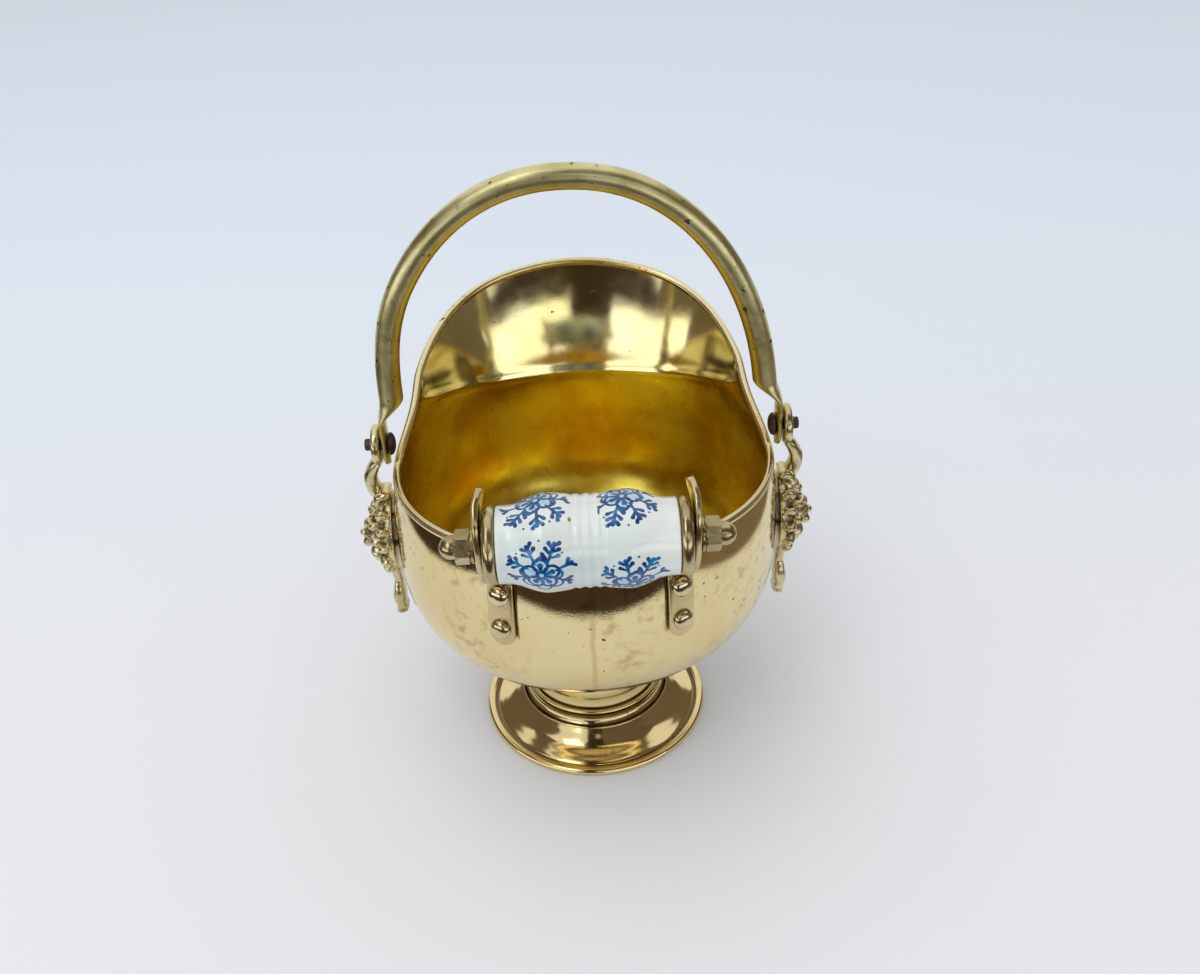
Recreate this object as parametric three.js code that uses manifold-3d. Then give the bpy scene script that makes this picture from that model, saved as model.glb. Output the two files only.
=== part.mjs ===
// Brass helmet coal scuttle: a bulbous bowl on a spun foot, a tall flared hood on the far side,
// a tubular bail hung from two cast lion mounts, and a porcelain grip on two riveted brackets.
// Millimetres, +Z up, +X to the right, +Y towards the hood, -Y towards the porcelain grip.
// The plan angle phi is 0 towards the hood, +-PI / 2 at the sides and PI at the grip.

import * as THREE from 'three';
import * as BufferGeometryUtils from 'three/addons/utils/BufferGeometryUtils.js';
import Module from 'manifold-3d';

const wasm = await Module();
wasm.setup();

// ---------------------------------------------------------------- driving dimensions

// Seating gap between neighbouring pieces, and the running gap of what turns.
const seatGap = 0.3;
const runningGap = 0.35;

// Bowl: sheet brass, a rounded belly on a flattened bottom.
const sheetThickness = 1.2;
const bowlRadius = 75.1;
const bowlBottomHeight = 48.3;
const bowlDepth = 49.4;
const bowlShoulder = 70;
const bowlRoundness = 2.78;

// Rim: heights above the widest line of the bowl, and the rolled bead on the edge.
const rimSideRise = 30.1;
const rimHoodRise = 72.8;
const rimGripRise = 35.3;
const rimSweep = 1.1;
const rimBeadRadius = 1.65;

// Hood: a flared sheet that starts at a crease and is brazed to the bowl along it.
const hoodFlare = 14.7;
const hoodRimRadius = 71.8;
const hoodFullAngle = THREE.MathUtils.degToRad(22);
const hoodFadeAngle = THREE.MathUtils.degToRad(75);
const hoodEndAngle = THREE.MathUtils.degToRad(66);
const hoodLeastFlare = 12;
const creaseRise = 26.8;
const creaseClimb = 15.5;
const creaseClimbAngle = THREE.MathUtils.degToRad(70);
const hoodBlendStart = THREE.MathUtils.degToRad(60);
const hoodBlendEnd = THREE.MathUtils.degToRad(88);

// Foot: a spun flare with a rolled edge, and a ringed neck that carries the bowl.
const footRadius = 48;
const footBeadRadius = 1.8;
const footBeadFlat = 0.4;
const footSheet = 1.2;
const flareHeight = 16.6;
const flareTopRadius = 29.2;
const stepHeight = 5;
const neckRingSet = 0.6;
const neckStep = 1.7;
const neckWaistRadius = 24;
const neckTopRadius = 28;
const neckRingHeight = 2.6;

// Bail: a tube bent to an arch, with both ends beaten flat and drilled for the pins.
const bailPivotY = 0;
const bailPivotRise = 9.8;
const bailHalfWidth = 73.1;
const bailRise = 101.6;
const bailRoundness = 2.14;
const bailSetOver = 2.5;
const bailPinch = 3;
const bailBendHeight = 65;
const bailTubeRadius = 4.5;
const paddleThickness = 2.4;
const paddleHalfWidth = 6.2;
const paddleBelowPin = 8.5;
const paddleTop = 10;
const paddleBlend = 10;
const bailToRimGap = 0.4;

// Bail pins.
const pinRadius = 2.3;
const pinHeadRadius = 4.4;
const pinHeadHeight = 2.4;
const pinStub = 3;

// Lion mounts: a flat eye on a hook above a cast mask with a leaf tail.
const eyeRadius = 7.8;
const eyeThickness = 3.2;
const hookRadius = 2.5;
const hookReach = 4.5;
const maskStandoff = 0.6;
const maskHalfWidth = 15.5;
const maskHalfHeight = 17.5;
const maskCentreDrop = 0.2;
const maskEdge = 2.2;
const maskDome = 8.2;
const muzzleHeight = 3.4;
const noseHeight = 2.6;
const tailLength = 25.5;
const tailThickness = 4.6;
const lionRivetSpacing = 14;
const lionRivetReach = 5;

// Grip: a porcelain barrel that turns on a rod between two cup washers and two brackets.
const gripStandOut = 10.1;
const gripRise = 53;
const gripLength = 57.6;
const gripEndRadius = 12.55;
const gripBulgeRadius = 15.9;
const gripWaistRadius = 15.1;
const gripBulgeOffset = 13;
const gripRibWidth = 3.2;
const gripRibDepth = 0.45;
const gripBoreGap = 0.4;
const rodRadius = 3;
const ferruleRadius = 12.85;
const ferruleThickness = 4.2;
const washerRadius = 5.6;
const washerThickness = 0.8;
const nutAcrossFlats = 10;
const nutHeight = 4.8;
const nutDomeRadius = 3.9;
const nutDomeHeight = 5.2;
const nutWall = 1.6;

// Brackets: a flat strap, riveted to the bowl, twisted and bent out to an upright ear.
const tabOffset = 31.5;
const tabWidth = 9.7;
const tabThickness = 2.2;
const tabBelowRivets = 7.7;
const tabAboveRivets = 5;
const earWidth = 12;
const earThickness = 2.4;
const earRise = 18;
const earLeanBack = 5;
const earLeanIn = 3.5;
const lowerRivetRise = 5.3;
const rivetSpacing = 14;
const rivetShankRadius = 1.5;
const rivetHeadRadius = 3.8;
const rivetHeadHeight = 2.4;
const rivetTailRadius = 3;
const rivetTailHeight = 1.2;
const rivetTailGap = 0.6;

// Facets.
const bodySegments = 48;
const bottomRows = 7;
const wallRows = 7;
const latheSegments = 32;
const smallSegments = 10;

// ---------------------------------------------------------------- derived places

const widestHeight = bowlBottomHeight + bowlDepth;
const rimSideHeight = widestHeight + rimSideRise;
const creaseHeight = widestHeight + creaseRise;
const bailPivotHeight = rimSideHeight + bailPivotRise;
const maskCentreHeight = widestHeight - maskCentreDrop;
const neckRingRadius = flareTopRadius - neckRingSet;
const neckRadius = neckRingRadius - neckStep;
const gripY = -(bowlRadius + gripStandOut);
const gripHeight = widestHeight + gripRise;
const lowerRivetHeight = widestHeight + lowerRivetRise;
const rivetHeights = [lowerRivetHeight, lowerRivetHeight + rivetSpacing];
const tabEndHeight = rivetHeights[0] - tabBelowRivets;
const tabTopHeight = rivetHeights[1] + tabAboveRivets;
const sideAngle = Math.PI / 2;

// ---------------------------------------------------------------- closed solids

// Welds a geometry to shared positions and turns its faces outwards.
function closed(geometry) {
  const plain = geometry.index ? geometry.toNonIndexed() : geometry.clone();
  plain.deleteAttribute('normal');
  plain.deleteAttribute('uv');
  const welded = BufferGeometryUtils.mergeVertices(plain, 1e-4);
  const index = welded.index.array;
  const kept = [];
  let volume = 0;
  const corners = [new THREE.Vector3(), new THREE.Vector3(), new THREE.Vector3()];
  for (let face = 0; face < index.length; face += 3) {
    const [a, b, c] = [index[face], index[face + 1], index[face + 2]];
    if (a === b || b === c || c === a) continue;
    [a, b, c].forEach((vertex, i) => corners[i].fromBufferAttribute(welded.attributes.position, vertex));
    volume += corners[0].dot(corners[1].clone().cross(corners[2]));
    kept.push([a, b, c]);
  }
  const outward = kept.flatMap(([a, b, c]) => (volume < 0 ? [a, c, b] : [a, b, c]));
  welded.setIndex(outward);
  return welded;
}

function solidOf(geometry) {
  const source = closed(geometry);
  const mesh = new wasm.Mesh({
    numProp: 3,
    vertProperties: new Float32Array(source.attributes.position.array),
    triVerts: new Uint32Array(source.index.array),
  });
  return new wasm.Manifold(mesh);
}

function geometryOf(solid) {
  const mesh = solid.getMesh();
  const geometry = new THREE.BufferGeometry();
  geometry.setAttribute('position', new THREE.BufferAttribute(new Float32Array(mesh.vertProperties), 3));
  geometry.setIndex(new THREE.BufferAttribute(new Uint32Array(mesh.triVerts), 1));
  return geometry;
}

function cut(geometry, tools) {
  return geometryOf(tools.reduce((solid, tool) => solid.subtract(solidOf(tool)), solidOf(geometry)));
}

function join(geometries) {
  return geometryOf(geometries.slice(1).reduce((solid, more) => solid.add(solidOf(more)), solidOf(geometries[0])));
}

// Joins rings of points into one skin, closed by a fan at each end or round in a loop.
function loft(rings, loop = false) {
  const sides = rings[0].length;
  const points = rings.flat();
  const index = [];
  const last = loop ? rings.length : rings.length - 1;
  for (let i = 0; i < last; i++) {
    const low = i * sides;
    const high = ((i + 1) % rings.length) * sides;
    for (let j = 0; j < sides; j++) {
      const k = (j + 1) % sides;
      index.push(low + j, low + k, high + k, low + j, high + k, high + j);
    }
  }
  if (!loop) {
    [0, rings.length - 1].forEach((end) => {
      const centre = new THREE.Vector3();
      rings[end].forEach((point) => centre.addScaledVector(point, 1 / sides));
      points.push(centre);
      for (let j = 0; j < sides; j++) {
        const near = end * sides + j;
        const next = end * sides + ((j + 1) % sides);
        index.push(points.length - 1, end === 0 ? next : near, end === 0 ? near : next);
      }
    });
  }
  const geometry = new THREE.BufferGeometry().setFromPoints(points);
  geometry.setIndex(index);
  return closed(geometry);
}

// An elliptic ring about a centre, spanned by two half-axes.
function ringAt(centre, halfU, halfV, sides, turn = 0) {
  return Array.from({ length: sides }, (_, j) => {
    const angle = turn + (2 * Math.PI * j) / sides;
    return centre.clone().addScaledVector(halfU, Math.cos(angle)).addScaledVector(halfV, Math.sin(angle));
  });
}

// Turns a profile of [radius, height] pairs about the local Y axis.
function turned(profile, segments = smallSegments) {
  return closed(new THREE.LatheGeometry(profile.map(([r, y]) => new THREE.Vector2(r, y)), segments));
}

function upright(geometry) {
  return geometry.clone().rotateX(Math.PI / 2);
}

function along(geometry, direction, origin) {
  const turn = new THREE.Quaternion().setFromUnitVectors(new THREE.Vector3(0, 1, 0), direction);
  return geometry.clone().applyQuaternion(turn).translate(origin.x, origin.y, origin.z);
}

function drill(radius, direction, origin, from, to) {
  const cylinder = new THREE.CylinderGeometry(radius, radius, to - from, smallSegments);
  cylinder.translate(0, (from + to) / 2, 0);
  return along(cylinder, direction, origin);
}

function smooth(value, low, high) {
  return THREE.MathUtils.smoothstep(value, low, high);
}

// ---------------------------------------------------------------- the body's surface

function bowlRadiusAt(height) {
  const span = height < widestHeight ? bowlDepth : bowlShoulder;
  const share = Math.min(Math.abs(height - widestHeight) / span, 1);
  return bowlRadius * (1 - share ** bowlRoundness) ** (1 / bowlRoundness);
}

function rimHeight(phi) {
  const c = Math.cos(phi);
  const toHood = (rimHoodRise - rimSideRise) * Math.max(c, 0) ** rimSweep;
  const toGrip = (rimGripRise - rimSideRise) * Math.max(-c, 0) ** 2;
  return rimSideHeight + toHood + toGrip;
}

function creaseAt(phi) {
  return creaseHeight + (creaseClimb * (1 - Math.cos(phi))) / (1 - Math.cos(creaseClimbAngle));
}

// Where the flare starts: at the crease, or a little under the rim where the two come close.
function flareStart(phi) {
  const room = Math.max(rimHeight(phi) - creaseAt(phi), 0);
  return rimHeight(phi) - (room ** 4 + hoodLeastFlare ** 4) ** 0.25;
}

// Outside radius of the body: the bowl below the flare's start, the hood's flare above it.
function wallRadius(phi, height) {
  const bowl = bowlRadiusAt(height);
  const start = flareStart(phi);
  const turn = Math.abs(phi);
  if (height <= start || turn >= hoodBlendEnd) return bowl;
  const rise = Math.min((height - start) / (rimHeight(phi) - start), 1);
  const lip = hoodRimRadius + hoodFlare * (1 - smooth(turn, hoodFullAngle, hoodFadeAngle));
  const base = bowlRadiusAt(start);
  const hood = base + (lip - base) * (0.75 * rise + 0.25 * rise * rise);
  return THREE.MathUtils.lerp(hood, bowl, smooth(turn, hoodBlendStart, hoodBlendEnd));
}

function wallPoint(phi, height, inset = 0) {
  const radius = wallRadius(phi, height) - inset;
  return new THREE.Vector3(radius * Math.sin(phi), radius * Math.cos(phi), height);
}

// A point of the wall moved along the wall's own normal.
function offsetPoint(phi, height, offset) {
  const step = 0.5;
  const point = wallPoint(phi, height);
  const up = wallPoint(phi, height + step).sub(wallPoint(phi, height - step));
  const round = wallPoint(phi + 0.01, height).sub(wallPoint(phi - 0.01, height));
  return point.addScaledVector(round.cross(up).normalize(), -offset);
}

// A strip of the wall between two heights, open round its edge, as a closed sheet.
function wallStrip(phiFrom, phiTo, columns, rows, lower, upper, outside, inside) {
  const side = (offset) => {
    const grid = [];
    for (let i = 0; i <= columns; i++) {
      const phi = THREE.MathUtils.lerp(phiFrom, phiTo, i / columns);
      for (let j = 0; j <= rows; j++) {
        grid.push(offsetPoint(phi, THREE.MathUtils.lerp(lower(phi), upper(phi), j / rows), offset));
      }
    }
    return grid;
  };
  const points = [...side(outside), ...side(inside)];
  const layer = (columns + 1) * (rows + 1);
  const at = (i, j, skin) => skin * layer + i * (rows + 1) + j;
  const index = [];
  const quad = (a, b, c, d) => index.push(a, b, c, a, c, d);
  for (let i = 0; i < columns; i++) {
    for (let j = 0; j < rows; j++) {
      quad(at(i, j, 0), at(i, j + 1, 0), at(i + 1, j + 1, 0), at(i + 1, j, 0));
      quad(at(i, j, 1), at(i + 1, j, 1), at(i + 1, j + 1, 1), at(i, j + 1, 1));
    }
    quad(at(i, 0, 0), at(i + 1, 0, 0), at(i + 1, 0, 1), at(i, 0, 1));
    quad(at(i, rows, 0), at(i, rows, 1), at(i + 1, rows, 1), at(i + 1, rows, 0));
  }
  for (let j = 0; j < rows; j++) {
    quad(at(0, j, 0), at(0, j, 1), at(0, j + 1, 1), at(0, j + 1, 0));
    quad(at(columns, j, 0), at(columns, j + 1, 0), at(columns, j + 1, 1), at(columns, j, 1));
  }
  const geometry = new THREE.BufferGeometry().setFromPoints(points);
  geometry.setIndex(index);
  return closed(geometry);
}

// Top edge of the sheet, one gap under the bead, measured square to the sloping rim.
function sheetTop(phi) {
  const slope = (rimHeight(phi + 0.02) - rimHeight(phi - 0.02)) / (0.04 * bowlRadius);
  return rimHeight(phi) - (rimBeadRadius + seatGap) * Math.hypot(1, slope);
}

// The whole body sheet: bottom pole, belly and wall up to the bead, outside skin then inside skin.
function bodySheet() {
  const ring = (height, skin) => Array.from({ length: bodySegments }, (_, i) => {
    const phi = (2 * Math.PI * i) / bodySegments - Math.PI;
    return skin(phi, height(phi));
  });
  const outside = (phi, height) => wallPoint(phi, height);
  const inside = (phi, height) => offsetPoint(phi, height, -sheetThickness);
  const seat = Math.asin((neckTopRadius / bowlRadius) ** (bowlRoundness / 2));
  const belly = Array.from({ length: bottomRows }, (_, i) => {
    const turn = Math.sin(((Math.PI / 2) * i) / (bottomRows - 1));
    const angle = THREE.MathUtils.lerp(seat, Math.PI / 2, turn);
    const share = Math.max(Math.cos(angle), 0) ** (2 / bowlRoundness);
    return widestHeight - bowlDepth * share;
  });
  const pole = (height) => Array.from({ length: bodySegments }, () => new THREE.Vector3(0, 0, height));
  const toCrease = 3 / wallRows;
  const wallHeight = (share) => (phi) => {
    const crease = Math.min(creaseAt(phi), sheetTop(phi) - 1);
    if (share <= toCrease) return THREE.MathUtils.lerp(widestHeight, crease, share / toCrease);
    return THREE.MathUtils.lerp(crease, sheetTop(phi), (share - toCrease) / (1 - toCrease));
  };
  const heights = belly.map((z) => () => z);
  for (let row = 1; row <= wallRows; row++) heights.push(wallHeight(row / wallRows));
  const rings = [pole(bowlBottomHeight)];
  heights.forEach((height) => rings.push(ring(height, outside)));
  heights.slice().reverse().forEach((height) => rings.push(ring(height, inside)));
  rings.push(pole(bowlBottomHeight + sheetThickness));
  return loft(rings);
}

// ---------------------------------------------------------------- fastener places on the body

const tabAngle = Math.asin(tabOffset / (bowlRadius + seatGap + tabThickness / 2));

// A place on the bowl's outside, with the wall's outward normal and the level direction across it.
function placeOnBowl(planX, planY, height) {
  const step = 0.5;
  const slope = (bowlRadiusAt(height + step) - bowlRadiusAt(height - step)) / (2 * step);
  const outward = new THREE.Vector3(planX, planY, -slope).normalize();
  const foot = new THREE.Vector3(planX, planY, 0).multiplyScalar(bowlRadiusAt(height)).setZ(height);
  const across = new THREE.Vector3(-planY, planX, 0).multiplyScalar(Math.sign(planX));
  return { outward, across, foot };
}

function tabPlace(side, height) {
  return placeOnBowl(side * Math.sin(tabAngle), -Math.cos(tabAngle), height);
}

function lionRivetPlace(side, upper) {
  const height = maskCentreHeight + (upper ? lionRivetSpacing / 2 : -lionRivetSpacing / 2);
  return placeOnBowl(side, 0, height);
}

const sideX = new THREE.Vector3(1, 0, 0);
const rivetHoleRadius = rivetShankRadius + seatGap;
const drillReach = 6;

function sheetDrills() {
  const drills = [];
  for (const side of [-1, 1]) {
    for (const height of rivetHeights) {
      const { outward, foot } = tabPlace(side, height);
      drills.push(drill(rivetHoleRadius, outward, foot, -drillReach, drillReach));
    }
    for (const upper of [false, true]) {
      const { outward, foot } = lionRivetPlace(side, upper);
      drills.push(drill(rivetHoleRadius, outward, foot, -drillReach, drillReach));
    }
  }
  return drills;
}

function hoodSheet() {
  const lower = (phi) => creaseAt(phi);
  return wallStrip(-hoodEndAngle, hoodEndAngle, 24, 4, lower, sheetTop, 0, -sheetThickness);
}

function bowlSheet() {
  const room = 3;
  const reach = seatGap / bowlRadius;
  const low = (phi) => creaseAt(phi) - seatGap;
  const high = (phi) => rimHeight(phi) + room;
  const end = hoodEndAngle + reach;
  const hoodRoom = wallStrip(-end, end, 24, 5, low, high, room, -sheetThickness - room);
  return cut(bodySheet(), [hoodRoom, ...sheetDrills()]);
}

// ---------------------------------------------------------------- rim bead

function rimBead() {
  const centre = (phi) => wallPoint(phi, rimHeight(phi), sheetThickness / 2);
  const rings = Array.from({ length: bodySegments }, (_, i) => {
    const phi = (2 * Math.PI * i) / bodySegments - Math.PI;
    const here = centre(phi);
    const ahead = centre(phi + 0.02).sub(centre(phi - 0.02)).normalize();
    const out = new THREE.Vector3(Math.sin(phi), Math.cos(phi), 0);
    out.addScaledVector(ahead, -out.dot(ahead)).normalize();
    const up = ahead.clone().cross(out).normalize();
    out.multiplyScalar(rimBeadRadius);
    up.multiplyScalar(rimBeadRadius);
    return ringAt(here, out, up, 8, Math.PI / 8);
  });
  return loft(rings, true);
}

// ---------------------------------------------------------------- foot

// A spun sheet: its outside line, and the same line moved inwards by the sheet's thickness.
function spunSheet(outline, thickness) {
  const inner = outline.map(([r, z], i) => {
    const [r0, z0] = outline[Math.max(i - 1, 0)];
    const [r1, z1] = outline[Math.min(i + 1, outline.length - 1)];
    const length = Math.hypot(r1 - r0, z1 - z0);
    return [r - (thickness * (z1 - z0)) / length, z + (thickness * (r1 - r0)) / length];
  });
  const loop = [...outline, ...inner.reverse(), outline[0]];
  return upright(turned(loop, latheSegments));
}

function footBead() {
  const centreRadius = footRadius - footBeadRadius;
  const centreHeight = footBeadRadius - footBeadFlat;
  const start = Math.asin(centreHeight / footBeadRadius);
  const steps = 6;
  const loop = Array.from({ length: steps + 1 }, (_, i) => {
    const angle = THREE.MathUtils.lerp(-start, Math.PI + start, i / steps);
    return [centreRadius + footBeadRadius * Math.cos(angle), centreHeight + footBeadRadius * Math.sin(angle)];
  });
  return upright(turned([...loop, loop[0]], latheSegments));
}

function footFlare() {
  const edgeRadius = footRadius - 2 * footBeadRadius - seatGap;
  const edgeHeight = footBeadRadius;
  const stepStart = flareHeight - stepHeight;
  const curve = Array.from({ length: 6 }, (_, i) => {
    const share = i / 5;
    const radius = THREE.MathUtils.lerp(edgeRadius, flareTopRadius + 1.4, 1 - (1 - share) ** 1.7);
    return [radius, THREE.MathUtils.lerp(edgeHeight, stepStart, share ** 1.15)];
  });
  const band = [
    [flareTopRadius + 0.4, stepStart + 1.2],
    [flareTopRadius, flareHeight],
  ];
  return spunSheet([...curve, ...band], footSheet);
}

function neckCollar() {
  const bottom = flareHeight + seatGap;
  const ringTop = bottom + neckRingHeight;
  const top = bowlBottomUnder(neckTopRadius) - seatGap - footSheet;
  const waist = THREE.MathUtils.lerp(ringTop, top, 0.6);
  const outline = [
    [neckRingRadius, bottom],
    [neckRingRadius + 0.5, bottom + neckRingHeight * 0.35],
    [neckRingRadius, ringTop - neckRingHeight * 0.3],
    [neckRadius, ringTop + 0.8],
    [neckRadius - 0.2, THREE.MathUtils.lerp(ringTop, waist, 0.45)],
    [neckWaistRadius, waist],
    [neckWaistRadius + 0.6, THREE.MathUtils.lerp(waist, top, 0.7)],
    [THREE.MathUtils.lerp(neckWaistRadius, neckTopRadius, 0.55), top - 0.35],
    [neckTopRadius, top - 0.1],
  ];
  return spunSheet(outline, footSheet);
}

function bowlBottomUnder(radius) {
  const share = (1 - (radius / bowlRadius) ** bowlRoundness) ** (1 / bowlRoundness);
  return widestHeight - bowlDepth * share;
}

// ---------------------------------------------------------------- bail and pins

const rimOutside = wallRadius(sideAngle, rimSideHeight) - sheetThickness / 2 + rimBeadRadius;
const paddleInner = rimOutside + bailToRimGap;
const paddleOuter = paddleInner + paddleThickness;
const eyeInner = paddleOuter + runningGap;
const eyeOuter = eyeInner + eyeThickness;
const pinHoleRadius = pinRadius + runningGap;
const pivot = new THREE.Vector3(0, bailPivotY, bailPivotHeight);

function bailTube() {
  const rings = [];
  const sides = 8;
  const paddleX = (paddleInner + paddleOuter) / 2;
  const outX = new THREE.Vector3(1, 0, 0);
  const outY = new THREE.Vector3(0, 1, 0);
  const legRing = (height, side) => {
    const round = smooth(height, paddleTop, paddleTop + paddleBlend);
    const below = THREE.MathUtils.clamp(-height / paddleBelowPin, 0, 1);
    const width = paddleHalfWidth * Math.sqrt(1 - Math.min(below, 0.97) ** 2);
    const x = THREE.MathUtils.lerp(side * paddleX, archPoint(Math.max(height, 0), side).x, round);
    const halfX = THREE.MathUtils.lerp(paddleThickness / 2, bailTubeRadius, round);
    const halfY = THREE.MathUtils.lerp(width, bailTubeRadius, round);
    const centre = new THREE.Vector3(x, 0, height);
    return ringAt(centre, outX.clone().multiplyScalar(side * halfX), outY.clone().multiplyScalar(halfY), sides);
  };
  const legTop = paddleTop + paddleBlend;
  const legHeights = [-paddleBelowPin, -0.93, -0.75, -0.45].map((share, i) => (
    i === 0 ? share : share * paddleBelowPin));
  legHeights.push(0, 0.55 * paddleTop, paddleTop);
  for (let i = 1; i <= 4; i++) legHeights.push(paddleTop + (paddleBlend * i) / 4);
  legHeights.forEach((height) => rings.push(legRing(height, 1)));
  const startAngle = archAngle(legTop);
  const arcs = 24;
  for (let i = 1; i < arcs; i++) {
    const angle = THREE.MathUtils.lerp(startAngle, Math.PI - startAngle, i / arcs);
    const here = archAt(angle);
    const ahead = archAt(angle + 0.01).sub(archAt(angle - 0.01)).normalize();
    const normal = new THREE.Vector3(ahead.z, 0, -ahead.x).multiplyScalar(bailTubeRadius);
    rings.push(ringAt(here, normal, outY.clone().multiplyScalar(bailTubeRadius), sides));
  }
  legHeights.slice().reverse().forEach((height) => rings.push(legRing(height, -1)));
  const holes = [-1, 1].map((side) => {
    const outward = sideX.clone().multiplyScalar(side);
    return drill(pinHoleRadius, outward, new THREE.Vector3(), paddleInner - 3, paddleOuter + 3);
  });
  return cut(loft(rings), holes);
}

// The arch's centre line: a superellipse about the pivot line, drawn in above the pins and set
// over to the left higher up, as a hand-bent bail is.
function archAt(angle) {
  const c = Math.cos(angle);
  const height = bailRise * Math.sin(angle) ** (2 / bailRoundness);
  const bent = smooth(height, 0, bailBendHeight);
  const halfWidth = bailHalfWidth - bailPinch * (1 - bent);
  const x = halfWidth * Math.sign(c) * Math.abs(c) ** (2 / bailRoundness);
  return new THREE.Vector3(x - bailSetOver * bent, 0, height);
}

function archAngle(height) {
  return Math.asin((height / bailRise) ** (bailRoundness / 2));
}

function archPoint(height, side) {
  const angle = archAngle(height);
  return archAt(side > 0 ? angle : Math.PI - angle);
}

function bailPin() {
  const headFace = paddleInner - seatGap;
  const crown = headFace - pinHeadHeight;
  const tip = eyeOuter + pinStub;
  const profile = [[0, crown]];
  for (let i = 1; i <= 3; i++) {
    const angle = (Math.PI / 2) * (i / 3);
    profile.push([pinHeadRadius * Math.sin(angle), headFace - 0.5 - (pinHeadHeight - 0.5) * Math.cos(angle)]);
  }
  profile.push([pinHeadRadius, headFace], [pinRadius, headFace], [pinRadius, tip], [0, tip]);
  return turned(profile);
}

// ---------------------------------------------------------------- lion mounts

const maskBack = bowlRadius + maskStandoff;

// Height of the mask's relief: v runs across and w up, both from -1 to 1 over the mask.
function maskRelief(v, w) {
  const bump = (dv, dw, sv, sw) => Math.exp(-((dv / sv) ** 2) - (dw / sw) ** 2);
  const spread = Math.min(Math.hypot(v, w), 1);
  const angle = Math.atan2(v, w);
  const dome = maskDome * Math.sqrt(1 - spread ** 2);
  const brow = 1.6 * bump(Math.abs(v) - 0.28, w - 0.36, 0.24, 0.14);
  const socket = -1.8 * bump(Math.abs(v) - 0.3, w - 0.14, 0.13, 0.1);
  const muzzle = muzzleHeight * bump(v, w + 0.2, 0.36, 0.3);
  const nose = noseHeight * bump(v, w - 0.02, 0.17, 0.15);
  const mouth = -1.4 * bump(v, w + 0.36, 0.26, 0.06);
  const chin = 2 * bump(v, w + 0.58, 0.2, 0.13);
  const mane = 0.9 * Math.cos(12 * angle) * smooth(spread, 0.55, 0.85);
  return maskEdge + dome + brow + socket + muzzle + nose + mouth + chin + mane * (1 - spread ** 8);
}

function maskSolid() {
  const spokes = 24;
  const rings = 5;
  const ring = (share, front) => Array.from({ length: spokes }, (_, j) => {
    const angle = (2 * Math.PI * j) / spokes;
    const scallop = 1 + 0.05 * Math.cos(12 * angle) * share ** 2;
    const v = share * Math.sin(angle) * scallop;
    const w = share * Math.cos(angle) * scallop;
    const x = maskBack + (front ? maskRelief(v / 1.05, w / 1.05) : 0);
    return new THREE.Vector3(x, v * maskHalfWidth, maskCentreHeight + w * maskHalfHeight);
  });
  const layers = [ring(0.02, false), ring(1, false)];
  for (let i = rings; i >= 1; i--) layers.push(ring(i / rings, true));
  layers.push(ring(0.02, true));
  return loft(layers);
}

// A flat bar along a chain of stations: [x, y, z, half width across Y, half thickness].
function castBar(stations, sides = 8) {
  const rings = stations.map(([x, y, z, halfWidth, halfThickness], i) => {
    const before = stations[Math.max(i - 1, 0)];
    const after = stations[Math.min(i + 1, stations.length - 1)];
    const ahead = new THREE.Vector3(after[0] - before[0], 0, after[2] - before[2]).normalize();
    const across = new THREE.Vector3(0, halfWidth, 0);
    const normal = new THREE.Vector3(ahead.z, 0, -ahead.x).multiplyScalar(halfThickness);
    return ringAt(new THREE.Vector3(x, y, z), across, normal, sides);
  });
  return loft(rings);
}

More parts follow.
